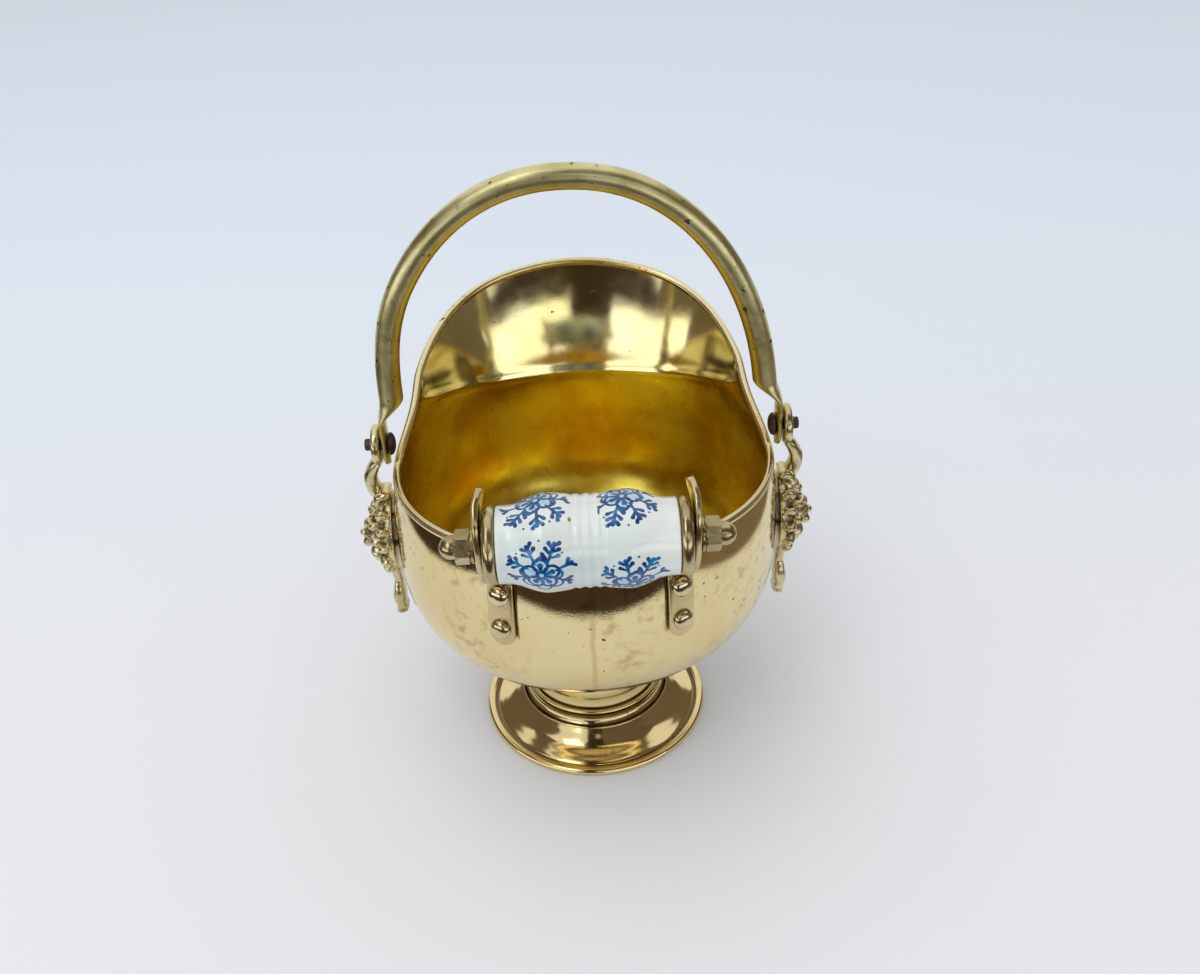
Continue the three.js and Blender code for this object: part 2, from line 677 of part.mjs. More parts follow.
function lionMount(side) {
  const eyeMiddle = (eyeInner + eyeOuter) / 2;
  const eyeBottom = bailPivotHeight - eyeRadius;
  const maskTop = maskCentreHeight + maskHalfHeight;
  const eye = new THREE.CylinderGeometry(eyeRadius, eyeRadius, eyeThickness, 16);
  const eyePlate = along(eye, sideX, new THREE.Vector3(eyeMiddle, bailPivotY, bailPivotHeight));
  const drop = eyeBottom - maskTop;
  const bend = eyeMiddle + hookReach;
  const hook = castBar([
    [eyeMiddle + 0.2, bailPivotY, eyeBottom + 2.6, hookRadius * 1.3, hookRadius * 0.55],
    [eyeMiddle + 1, bailPivotY, eyeBottom + 0.4, hookRadius * 1.3, hookRadius * 0.8],
    [bend - 0.6, bailPivotY, maskTop + drop * 0.72, hookRadius * 1.2, hookRadius * 0.9],
    [bend, bailPivotY * 0.85, maskTop + drop * 0.4, hookRadius * 1.2, hookRadius * 0.95],
    [bend - 1.2, bailPivotY * 0.6, maskTop + drop * 0.08, hookRadius * 1.3, hookRadius],
    [eyeMiddle, bailPivotY * 0.4, maskTop - 2.6, hookRadius * 1.6, hookRadius * 1.1],
    [maskBack + 4.6, 0, maskTop - 6, hookRadius * 2, hookRadius * 1.1],
  ]);
  const crown = castBar([
    [maskBack + 0.2, 0, maskTop - 1.2, 5.2, 2.2],
    [maskBack + 2.4, 0, maskTop - 0.6, 5.6, 2.4],
    [maskBack + 5, 0, maskTop - 1.6, 5, 2.2],
  ]);
  const maskBottom = maskCentreHeight - maskHalfHeight;
  const half = tailThickness / 2;
  const tailX = maskBack + half + 0.6;
  const tail = castBar([
    [tailX, 0, maskBottom + 6, 6, half],
    [tailX, 0, maskBottom - tailLength * 0.08, 4.4, half],
    [tailX, 0, maskBottom - tailLength * 0.24, 2.9, half * 0.85],
    [tailX, 0, maskBottom - tailLength * 0.42, 3.6, half * 0.9],
    [tailX, 0, maskBottom - tailLength * 0.62, 5.3, half],
    [tailX - 0.3, 0, maskBottom - tailLength * 0.86, 4.2, half * 0.9],
    [tailX - 0.8, 0, maskBottom - tailLength, 1.8, half * 0.5],
  ]);
  const bosses = [false, true].map((upper) => {
    const { outward, foot } = lionRivetPlace(1, upper);
    return drill(rivetHoleRadius + 2, outward, foot, seatGap, maskStandoff + 3);
  });
  const solid = join([maskSolid(), eyePlate, hook, crown, tail, ...bosses]);
  const pinHole = drill(pinHoleRadius, sideX, pivot, eyeInner - 3, eyeOuter + 3);
  const rivetHoles = [false, true].map((upper) => {
    const { outward, foot } = lionRivetPlace(1, upper);
    return drill(rivetHoleRadius, outward, foot, -3, lionRivetReach + seatGap);
  });
  const right = cut(solid, [pinHole, ...rivetHoles]);
  return side > 0 ? right : closed(right.clone().scale(-1, 1, 1));
}

// ---------------------------------------------------------------- rivets

// Local Y points out of the bowl and is 0 on its outside.
function tabRivet() {
  const tail = -sheetThickness - rivetTailGap;
  const head = seatGap + tabThickness + seatGap;
  const profile = [
    [0, tail - rivetTailHeight],
    [rivetTailRadius * 0.8, tail - rivetTailHeight],
    [rivetTailRadius, tail - rivetTailHeight * 0.5],
    [rivetTailRadius, tail],
    [rivetShankRadius, tail],
    [rivetShankRadius, head],
  ];
  for (let i = 0; i <= 3; i++) {
    const angle = (Math.PI / 2) * (i / 3);
    profile.push([rivetHeadRadius * Math.cos(angle), head + rivetHeadHeight * Math.sin(angle)]);
  }
  return turned(profile);
}

function lionRivet() {
  const tail = -sheetThickness - rivetTailGap;
  return turned([
    [0, tail - rivetTailHeight * 1.3],
    [rivetTailRadius * 0.7, tail - rivetTailHeight],
    [rivetTailRadius, tail - rivetTailHeight * 0.4],
    [rivetTailRadius, tail],
    [rivetShankRadius, tail],
    [rivetShankRadius, lionRivetReach],
    [0, lionRivetReach],
  ]);
}

// ---------------------------------------------------------------- grip assembly

const gripAxis = new THREE.Vector3(0, gripY, gripHeight);
const ferruleInner = gripLength / 2 + seatGap;
const ferruleOuter = ferruleInner + ferruleThickness;
const earInner = ferruleOuter + seatGap;
const earOuter = earInner + earThickness;
const washerInner = earOuter + seatGap;
const nutInner = washerInner + washerThickness + seatGap;
const nutShoulder = nutInner + nutHeight;
const rodHoleRadius = rodRadius + seatGap;
const rodEnd = nutShoulder + nutDomeHeight * 0.35;

function gripRadiusAt(x) {
  const reach = Math.abs(x) / gripBulgeOffset;
  if (reach <= 1) {
    const base = THREE.MathUtils.lerp(gripWaistRadius, gripBulgeRadius, smooth(reach, 0.2, 1));
    return base - gripRibDepth * Math.sin((Math.PI * x) / gripRibWidth) ** 2 * (1 - smooth(reach, 0.2, 0.5));
  }
  const fall = (Math.abs(x) - gripBulgeOffset) / (gripLength / 2 - gripBulgeOffset);
  return THREE.MathUtils.lerp(gripBulgeRadius, gripEndRadius, smooth(Math.min(fall, 1), 0, 0.82));
}

function porcelainGrip() {
  const half = gripLength / 2;
  const bore = rodRadius + gripBoreGap;
  const outline = [[bore, -half], [gripEndRadius - 0.6, -half]];
  const steps = 18;
  for (let i = 1; i < steps; i++) {
    const x = -half + (gripLength * i) / steps;
    outline.push([gripRadiusAt(x), x]);
  }
  outline.push([gripEndRadius - 0.6, half], [bore, half], [bore, -half]);
  return turned(outline, 20).rotateZ(-Math.PI / 2);
}

// Cup washer: wide outside, drawn in towards the porcelain.
function ferrule() {
  const t = ferruleThickness;
  return turned([
    [rodHoleRadius, 0],
    [ferruleRadius - 1.5, 0],
    [ferruleRadius - 0.5, t * 0.16],
    [ferruleRadius, t * 0.45],
    [ferruleRadius - 0.1, t * 0.75],
    [ferruleRadius - 0.9, t],
    [rodHoleRadius, t],
    [rodHoleRadius, 0],
  ], 20);
}

function tieRod() {
  return turned([
    [0, -rodEnd],
    [rodRadius - 0.4, -rodEnd],
    [rodRadius, -rodEnd + 0.4],
    [rodRadius, rodEnd - 0.4],
    [rodRadius - 0.4, rodEnd],
    [0, rodEnd],
  ]).rotateZ(-Math.PI / 2);
}

function washer() {
  return turned([
    [rodHoleRadius, 0],
    [washerRadius, 0],
    [washerRadius, washerThickness],
    [rodHoleRadius, washerThickness],
    [rodHoleRadius, 0],
  ]);
}

// Acorn nut with its mouth at local Y = 0: a hexagon, a dome and a blind bore.
function acornNut() {
  const corner = nutAcrossFlats / Math.sqrt(3);
  const hexagon = new THREE.CylinderGeometry(corner, corner, nutHeight, 6).translate(0, nutHeight / 2, 0);
  const base = 0.2;
  const profile = [[0, nutHeight - base], [nutDomeRadius, nutHeight - base]];
  const straight = nutHeight + nutDomeHeight - nutDomeRadius;
  for (let i = 0; i <= 3; i++) {
    const angle = (Math.PI / 2) * (i / 3);
    profile.push([nutDomeRadius * Math.cos(angle), straight + nutDomeRadius * Math.sin(angle)]);
  }
  const boreEnd = Math.min(rodEnd - nutInner + seatGap, nutHeight + nutDomeHeight - nutWall);
  const up = new THREE.Vector3(0, 1, 0);
  const bore = drill(Math.min(rodHoleRadius, nutDomeRadius - 0.6), up, new THREE.Vector3(), -1, boreEnd);
  return cut(join([hexagon, turned(profile)]), [bore]);
}

// Bracket strap: stations from the tab's rounded end, up the bowl, round the twist, to the ear's end.
function bracket(side) {
  const stations = [];
  const add = (centre, across, width, thickness) => stations.push({ centre, across, width, thickness });
  const roundEnd = (share) => Math.sqrt(1 - (1 - share) ** 2);
  const tabHalf = tabWidth / 2;
  const tabHeights = [0.04, 0.25, 0.6, 1].map((share) => tabEndHeight + tabHalf * share);
  const tabStations = [...tabHeights, ...rivetHeights.slice(1), tabTopHeight];
  tabStations.forEach((height, i) => {
    const { outward, across, foot } = tabPlace(side, height);
    foot.addScaledVector(outward, seatGap + tabThickness / 2);
    const share = i < 4 ? roundEnd([0.04, 0.25, 0.6, 1][i]) : 1;
    add(foot, across, tabWidth * share, tabThickness);
  });
  const start = stations.at(-1).centre;
  const startAcross = stations.at(-1).across;
  const earX = (side * (earInner + earOuter)) / 2;
  const through = new THREE.Vector3(earX, gripY, gripHeight);
  const end = new THREE.Vector3(earX, gripY + earLeanBack, gripHeight + earRise - earWidth / 2);
  const inwards = -side * earLeanIn;
  const lower = new THREE.Vector3(earX, gripY + 3.4, gripHeight - earWidth * 0.75);
  const upper = new THREE.Vector3(earX, gripY + 0.6, gripHeight + earWidth * 0.6);
  const curve = new THREE.CatmullRomCurve3([start, lower, through, upper, end], false, 'centripetal');
  const steps = 12;
  for (let i = 1; i <= steps; i++) {
    const share = i / steps;
    const centre = curve.getPoint(share);
    const ahead = curve.getTangent(Math.min(share, 0.999));
    const flat = new THREE.Vector3(0, ahead.z, -ahead.y).normalize();
    const twist = smooth(share, 0, 0.2);
    const across = startAcross.clone().lerp(flat, twist).normalize();
    centre.x = THREE.MathUtils.lerp(start.x, earX, smooth(share, 0, 0.18));
    const aboveFerrule = centre.z - gripHeight - ferruleRadius;
    centre.x += inwards * smooth(aboveFerrule, -2, earRise - ferruleRadius);
    const width = THREE.MathUtils.lerp(tabWidth, earWidth, smooth(share, 0.05, 0.45));
    add(centre, across, width, THREE.MathUtils.lerp(tabThickness, earThickness, twist));
  }
  const last = stations.at(-1);
  const onward = curve.getTangent(0.999);
  for (const share of [0.35, 0.65, 0.87, 0.97]) {
    const centre = last.centre.clone().addScaledVector(onward, (share * earWidth) / 2);
    add(centre, last.across, last.width * Math.sqrt(1 - share ** 2), earThickness);
  }
  const rings = stations.map(({ centre, across, width, thickness }, i) => {
    const before = stations[Math.max(i - 1, 0)].centre;
    const after = stations[Math.min(i + 1, stations.length - 1)].centre;
    const ahead = after.clone().sub(before).normalize();
    const wide = across.clone().addScaledVector(ahead, -across.dot(ahead)).normalize();
    const thick = wide.clone().cross(ahead).multiplyScalar(thickness / 2);
    wide.multiplyScalar(width / 2);
    const corner = (u, v) => centre.clone().addScaledVector(wide, u).addScaledVector(thick, v);
    return [corner(1, 0.5), corner(0.9, 1), corner(-0.9, 1), corner(-1, 0.5),
      corner(-1, -0.5), corner(-0.9, -1), corner(0.9, -1), corner(1, -0.5)];
  });
  const rodHole = drill(rodHoleRadius, sideX, gripAxis, -2 * earOuter, 2 * earOuter);
  const rivetHoles = rivetHeights.map((height) => {
    const { outward, foot } = tabPlace(side, height);
    return drill(rivetHoleRadius, outward, foot, 0, drillReach);
  });
  return cut(loft(rings), [rodHole, ...rivetHoles]);
}

// ---------------------------------------------------------------- finishes

const finishes = {
  satinBrass: { color: 0xc9a866, roughness: 0.36, metalness: 1 },
  polishedBrass: { color: 0xc79a4a, roughness: 0.16, metalness: 1 },
  bailBrass: { color: 0xa8955a, roughness: 0.42, metalness: 1 },
  castBrass: { color: 0xa99467, roughness: 0.4, metalness: 1 },
  agedBrass: { color: 0x938264, roughness: 0.38, metalness: 1 },
  darkSteel: { color: 0x3a2a26, roughness: 0.55, metalness: 0.8 },
  rodSteel: { color: 0x8d8a84, roughness: 0.4, metalness: 1 },
  porcelain: { color: 0xe9edf0, roughness: 0.12, metalness: 0 },
};

function piece(parent, name, geometry, finish) {
  const mesh = new THREE.Mesh(geometry, new THREE.MeshStandardMaterial(finishes[finish]));
  mesh.name = name;
  parent.add(mesh);
  return mesh;
}

function setAlong(mesh, direction, origin) {
  mesh.quaternion.setFromUnitVectors(new THREE.Vector3(0, 1, 0), direction);
  mesh.position.copy(origin);
}

// ---------------------------------------------------------------- assembly

const scuttle = new THREE.Group();
const body = new THREE.Group();
const bail = new THREE.Group();
const grip = new THREE.Group();
scuttle.add(body, bail, grip);

piece(body, 'bowl_shell', bowlSheet(), 'satinBrass');
piece(body, 'hood_shell', hoodSheet(), 'satinBrass');
piece(body, 'rim_bead', rimBead(), 'polishedBrass');
piece(body, 'foot_bead', footBead(), 'polishedBrass');
piece(body, 'foot_flare', footFlare(), 'polishedBrass');
piece(body, 'neck_collar', neckCollar(), 'polishedBrass');

bail.position.copy(pivot);
piece(bail, 'bail_tube', bailTube(), 'bailBrass');

grip.position.copy(gripAxis);
piece(grip, 'porcelain_grip', porcelainGrip(), 'porcelain');
piece(grip, 'tie_rod', tieRod(), 'rodSteel');

for (const [side, label] of [[-1, 'left'], [1, 'right']]) {
  const outward = sideX.clone().multiplyScalar(side);
  setAlong(piece(body, `bail_pin_${label}`, bailPin(), 'darkSteel'), outward, pivot);
  piece(body, `lion_mount_${label}`, lionMount(side), 'castBrass');
  for (const [upper, level] of [[true, 'upper'], [false, 'lower']]) {
    const rivet = piece(body, `lion_rivet_${label}_${level}`, lionRivet(), 'agedBrass');
    const place = lionRivetPlace(side, upper);
    setAlong(rivet, place.outward, place.foot);
  }
  piece(body, `bracket_${label}`, bracket(side), 'agedBrass');
  rivetHeights.forEach((height, i) => {
    const level = i === 0 ? 'lower' : 'upper';
    const place = tabPlace(side, height);
    setAlong(piece(body, `bracket_rivet_${label}_${level}`, tabRivet(), 'agedBrass'), place.outward, place.foot);
  });
  const onAxis = (name, geometry, offset) => (
    setAlong(piece(grip, name, geometry, 'agedBrass'), outward, outward.clone().multiplyScalar(offset)));
  onAxis(`ferrule_${label}`, ferrule(), ferruleInner);
  onAxis(`washer_${label}`, washer(), washerInner);
  onAxis(`acorn_nut_${label}`, acornNut(), nutInner);
}

// The origin is on the floor, under the middle of the whole object.
scuttle.updateMatrixWorld(true);
const extent = new THREE.Box3().setFromObject(scuttle, true).getCenter(new THREE.Vector3());
scuttle.position.set(0, -extent.y, 0);

export default scuttle;
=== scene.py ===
"""Looks of a small brass helmet coal scuttle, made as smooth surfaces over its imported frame.

Shapes are worked out in millimetres in the scuttle's own plan, whose middle is the bowl's axis, and are
put in the frame, in metres, when they become meshes. The plan angle phi is 0 towards the hood and half a
turn at the porcelain grip. Each sub-assembly is a class with its sizes as fields, and each finish is a
small frozen class that writes its own material.
"""

import logging
import math
from dataclasses import dataclass, field
from enum import Enum

import bpy
import numpy as np
from mathutils import Matrix, Vector

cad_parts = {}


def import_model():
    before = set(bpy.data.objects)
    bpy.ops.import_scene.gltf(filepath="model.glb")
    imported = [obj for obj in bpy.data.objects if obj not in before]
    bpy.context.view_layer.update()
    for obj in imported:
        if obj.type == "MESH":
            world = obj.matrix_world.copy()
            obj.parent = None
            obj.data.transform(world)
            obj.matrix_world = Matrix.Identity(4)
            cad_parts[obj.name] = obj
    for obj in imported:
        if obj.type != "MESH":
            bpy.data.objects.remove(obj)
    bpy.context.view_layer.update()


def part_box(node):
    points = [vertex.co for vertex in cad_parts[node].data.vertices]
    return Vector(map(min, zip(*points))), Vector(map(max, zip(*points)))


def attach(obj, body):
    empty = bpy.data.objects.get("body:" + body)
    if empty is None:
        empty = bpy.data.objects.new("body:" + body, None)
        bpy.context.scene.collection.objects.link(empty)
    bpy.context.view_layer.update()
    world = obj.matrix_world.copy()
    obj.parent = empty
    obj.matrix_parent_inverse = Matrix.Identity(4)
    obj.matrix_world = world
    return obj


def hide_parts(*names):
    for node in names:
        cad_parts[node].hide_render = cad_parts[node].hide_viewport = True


log = logging.getLogger("scuttle")

MM = 0.001
TURN = 2 * math.pi
X_AXIS = np.array([1.0, 0.0, 0.0])
Y_AXIS = np.array([0.0, 1.0, 0.0])
Z_AXIS = np.array([0.0, 0.0, 1.0])
Array = np.ndarray
Pair = tuple[float, float]
Triple = tuple[float, float, float]
Socket = bpy.types.NodeSocket


class Side(Enum):
    """Left and right of the scuttle, with the sign that each has along X."""

    LEFT = -1
    RIGHT = 1

    @property
    def label(self) -> str:
        """The side's word in the names of the frame's nodes."""
        return self.name.lower()


class Rides(Enum):
    """The bodies of the frame that pieces ride on."""

    SCUTTLE = "scuttle"
    BAIL = "bail"
    GRIP = "grip"


# ------------------------------------------------------------------ curves and surfaces


def smoothstep(value: Array, low: float, high: float) -> Array:
    """A smooth rise from 0 at low to 1 at high.

    Args:
        value: where the rise is read.
        low: where it starts.
        high: where it ends.

    Returns:
        3t^2 - 2t^3 of the share t of the way from low to high, held at both ends.
    """
    share = np.clip((np.asarray(value, float) - low) / (high - low), 0.0, 1.0)
    return share * share * (3 - 2 * share)


def wrapped(angle: Array) -> Array:
    """The same angle, between minus half a turn and half a turn."""
    return (angle + math.pi) % TURN - math.pi


def unit(vectors: Array) -> Array:
    """The same directions with a length of 1."""
    return vectors / np.maximum(np.linalg.norm(vectors, axis=-1, keepdims=True), 1e-12)


def cubic_through(points: Array, count: int) -> Array:
    """A smooth line through a few points.

    Each stretch is the cubic whose slope at a point is half the step between its neighbours.

    Args:
        points: the points, one row each.
        count: how many samples each stretch gets.

    Returns:
        The samples, ending on the last point.
    """
    points = np.asarray(points, float)
    padded = np.vstack([2 * points[0] - points[1], points, 2 * points[-1] - points[-2]])
    before, start, end, after = padded[:-3], padded[1:-2], padded[2:-1], padded[3:]
    t = np.linspace(0, 1, count, endpoint=False)[None, :, None]
    slope_in = (end - before)[:, None] / 2
    slope_out = (after - start)[:, None] / 2
    line = (
        (2 * t**3 - 3 * t**2 + 1) * start[:, None]
        + (t**3 - 2 * t**2 + t) * slope_in
        + (3 * t**2 - 2 * t**3) * end[:, None]
        + (t**3 - t**2) * slope_out
    )
    return np.vstack([line.reshape(-1, points.shape[1]), points[-1:]])


def round_section(sides: int, squareness: float = 2.0) -> Array:
    """A closed section of half-width 1: a circle at 2, and a rounder square above it.

    Both coordinates are the circle's, raised to 2 / squareness with their signs kept.
    """
    angle = TURN * np.arange(sides) / sides
    circle = np.stack([np.cos(angle), np.sin(angle)], axis=1)
    return np.sign(circle) * np.abs(circle) ** (2 / squareness)


@dataclass
class Surface:
    """Points in millimetres with the quads and triangles between them."""

    points: Array
    quads: Array
    triangles: Array = field(default_factory=lambda: np.zeros((0, 3), int))

    def with_(self, *others: "Surface") -> "Surface":
        """This surface and others, kept as separate skins of one piece."""
        parts = [self, *others]
        starts = np.cumsum([0] + [len(part.points) for part in parts[:-1]])
        return Surface(
            np.vstack([part.points for part in parts]),
            np.vstack([part.quads + start for part, start in zip(parts, starts)]),
            np.vstack([part.triangles + start for part, start in zip(parts, starts)]),
        )

    def turned_out(self) -> "Surface":
        """The surface with every face outwards, told by the sign of the volume that it closes."""
        triangles = np.vstack([self.quads[:, [0, 1, 2]], self.quads[:, [0, 2, 3]], self.triangles])
        a, b, c = (self.points[triangles[:, i]] for i in range(3))
        if np.einsum("ij,ij->i", a, np.cross(b, c)).sum() < 0:
            return Surface(self.points, self.quads[:, ::-1], self.triangles[:, ::-1])
        return self

    def placed(self, axis: Array, origin: Array) -> "Surface":
        """The surface, made along +Z, turned to point along axis and moved to origin."""
        turn = Vector(Z_AXIS).rotation_difference(Vector(axis)).to_matrix()
        return Surface(self.points @ np.array(turn).T + origin, self.quads, self.triangles)

    def mirrored(self) -> "Surface":
        """The surface seen in a mirror across X."""
        return Surface(self.points * [-1, 1, 1], self.quads[:, ::-1], self.triangles[:, ::-1])


def lofted(rings: Array, loop: bool = False) -> Surface:
    """A skin over rings of points.

    Args:
        rings: an array of ring, point round the ring, and coordinate.
        loop: whether the last ring joins the first; otherwise a fan closes each end.

    Returns:
        The closed surface.
    """
    count, sides = rings.shape[:2]
    steps = count if loop else count - 1
    row, column = np.meshgrid(np.arange(steps), np.arange(sides), indexing="ij")
    after, beside = (row + 1) % count, (column + 1) % sides
    corners = [row * sides + column, row * sides + beside, after * sides + beside, after * sides + column]
    quads = np.stack(corners, axis=-1).reshape(-1, 4)
    points = rings.reshape(-1, 3)
    if loop:
        return Surface(points, quads).turned_out()
    points = np.vstack([points, rings[0].mean(0), rings[-1].mean(0)])
    edge = np.arange(sides)
    following = (edge + 1) % sides
    low = np.stack([np.full(sides, count * sides), following, edge], axis=1)
    last = (count - 1) * sides
    high = np.stack([np.full(sides, count * sides + 1), last + edge, last + following], axis=1)
    return Surface(points, quads, np.vstack([low, high])).turned_out()


def revolved(profile: Array, segments: int, ring: bool = False) -> Surface:
    """A profile of (radius, height) turned about Z: each point is radius (cos a, sin a), height.

    Args:
        profile: the points, from one end of the axis to the other, or round a loop.
        segments: steps round the axis.
        ring: whether the profile is a loop that stays clear of the axis.

    Returns:
        The closed surface.
    """
    angle = TURN * np.arange(segments) / segments
    radius, height = np.asarray(profile, float).T
    rings = np.stack(
        [
            radius[:, None] * np.cos(angle),
            radius[:, None] * np.sin(angle),
            np.broadcast_to(height[:, None], (len(radius), segments)),
        ],
        axis=-1,
    )
    return lofted(rings, loop=ring)


def swept(centres: Array, wide: Array, thick: Array, section: Array) -> Surface:
    """A section carried along a path: centre + u wide + v thick for each (u, v) of the section."""
    rings = (
        centres[:, None]
        + section[None, :, 0, None] * wide[:, None]
        + section[None, :, 1, None] * thick[:, None]
    )
    return lofted(rings)


def sheet_profile(outline: Array, thickness: float) -> Array:
    """A loop round a sheet: its outline, then the same line moved in by the sheet's thickness."""
    step = np.gradient(outline, axis=0)
    length = np.hypot(*step.T)
    inward = np.stack([-step[:, 1], step[:, 0]], axis=1) / length[:, None]
    return np.vstack([outline, (outline + inward * thickness)[::-1]])


def chamfered(inner: float, outer: float, low: float, high: float, edge: float) -> Array:
    """The profile of a disc or a rod with both outer edges cut off at 45 degrees.

    Args:
        inner: the radius at which the profile starts and ends.
        outer: the outer radius.
        low: the height of one face.
        high: the height of the other face.
        edge: how much is cut off each outer edge.

    Returns:
        The profile's (radius, height) points, from the low face to the high one.
    """
    side = [(outer - edge, low), (outer, low + edge), (outer, high - edge), (outer - edge, high)]
    return np.array([(inner, low), *side, (inner, high)])


# ------------------------------------------------------------------ the piece maker


def bowl_axis() -> float:
    """Y of the bowl's axis in the frame, in metres: the middle of the foot's rolled edge."""
    low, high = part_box("foot_bead")
    return (low.y + high.y) / 2


def store(mesh: bpy.types.Mesh, name: str, values: Array) -> None:
    """Writes a number on each point of a mesh, for its finish to read."""
    layer = mesh.attributes.new(name, "FLOAT", "POINT")
    layer.data.foreach_set("value", values.astype(np.float32))


class Bench:
    """Turns surfaces into pieces of the scene, in the frame's place."""

    def __init__(self) -> None:
        """Finds the bowl's axis, about which all surfaces are made."""
        self.axis_y = bowl_axis()

    def mesh(self, name: str, surface: Surface, smooth_angle: float) -> bpy.types.Object:
        """A mesh object in metres, with its place in its mesh.

        Args:
            name: the object's name.
            surface: the shape, in millimetres about the bowl's axis.
            smooth_angle: edges sharper than this many degrees stay sharp.

        Returns:
            The object, linked into the scene.
        """
        mesh = bpy.data.meshes.new(name)
        points = surface.points * MM + [0, self.axis_y, 0]
        faces = surface.quads.tolist() + surface.triangles.tolist()
        mesh.from_pydata(points.tolist(), [], faces)
        mesh.update()
        mesh.shade_smooth()
        mesh.set_sharp_from_angle(angle=math.radians(smooth_angle))
        thing = bpy.data.objects.new(name, mesh)
        bpy.context.scene.collection.objects.link(thing)
        return thing

    def piece(
        self, name: str, surface: Surface, finish: "Finish", node: str, smooth_angle: float = 38
    ) -> bpy.types.Object:
        """A finished piece of the scuttle's own body, standing for one node."""
        thing = self.mesh(name, surface, smooth_angle)
        self.finish(thing, finish, Rides.SCUTTLE, node)
        return thing

    def finish(self, thing: bpy.types.Object, finish: "Finish", rides: Rides, node: str) -> None:
        """Dresses an object, sets it riding and lets it stand for its node."""
        thing.data.materials.clear()
        thing.data.materials.append(finish.material())
        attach(thing, rides.value)
        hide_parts(node)
        log.info("%s: %d faces, for %s", thing.name, len(thing.data.polygons), node)

    def bored(self, thing: bpy.types.Object, radius: float, middle: Array, length: float) -> None:
        """Drills a round hole along X through an object.

        Args:
            thing: what is drilled.
            radius: the hole's radius in millimetres.
            middle: the middle of the drill, in millimetres.
            length: how long the drill is.
        """
        ends = np.array([(radius, -length / 2), (radius, length / 2)])
        rod = revolved(ends, 40).placed(X_AXIS, np.asarray(middle, float))
        drill = self.mesh("drill", rod, 30)
        cut = thing.modifiers.new("bore", "BOOLEAN")
        cut.operation = "DIFFERENCE"
        cut.solver = "EXACT"
        cut.object = drill
        self.settle(thing)
        bpy.data.objects.remove(drill)

    def fused(self, thing: bpy.types.Object, voxel: float, smoothing: int) -> None:
        """Melts the skins of an object into one, as a casting is.

        Args:
            thing: what is fused.
            voxel: the finest detail kept, in millimetres.
            smoothing: how many passes round the joins off.
        """
        remesh = thing.modifiers.new("fuse", "REMESH")
        remesh.mode = "VOXEL"
        remesh.voxel_size = voxel * MM
        remesh.use_smooth_shade = True
        smooth = thing.modifiers.new("round off", "SMOOTH")
        smooth.factor = 0.5
        smooth.iterations = smoothing
        self.settle(thing)
        thing.data.shade_smooth()

    def mark_hollows(self, thing: bpy.types.Object, depth: float, rounds: int = 14) -> None:
        """Writes how hollow each point lies, from 0 to 1.

        Args:
            thing: the piece to mark.
            depth: how far, in millimetres, the deepest hollows lie below the evened-out skin.
            rounds: how often each point is replaced by the mean of its neighbours to even the skin out.
        """
        mesh = thing.data
        count = len(mesh.vertices)
        points, normals = np.empty(count * 3), np.empty(count * 3)
        mesh.vertices.foreach_get("co", points)
        mesh.vertices.foreach_get("normal", normals)
        points, normals = points.reshape(-1, 3), normals.reshape(-1, 3)
        ends = np.empty(len(mesh.edges) * 2, dtype=np.int64)
        mesh.edges.foreach_get("vertices", ends)
        one = np.concatenate([ends[0::2], ends[1::2]])
        other = np.concatenate([ends[1::2], ends[0::2]])
        neighbours = np.maximum(np.bincount(one, minlength=count), 1)[:, None]
        even = points.copy()
        for _ in range(rounds):
            total = np.stack([np.bincount(one, even[other, axis], count) for axis in range(3)], axis=1)
            even = total / neighbours
        below = np.sum((even - points) * normals, axis=1) / (depth * MM)
        store(mesh, "hollow", np.clip(below, 0, 1))

    def settle(self, thing: bpy.types.Object) -> None:
        """Puts the result of an object's modifiers into its mesh and takes them off."""
        bpy.context.view_layer.update()
        graph = bpy.context.evaluated_depsgraph_get()
        result = bpy.data.meshes.new_from_object(thing.evaluated_get(graph))
        thing.modifiers.clear()
        thing.data = result


# ------------------------------------------------------------------ finishes


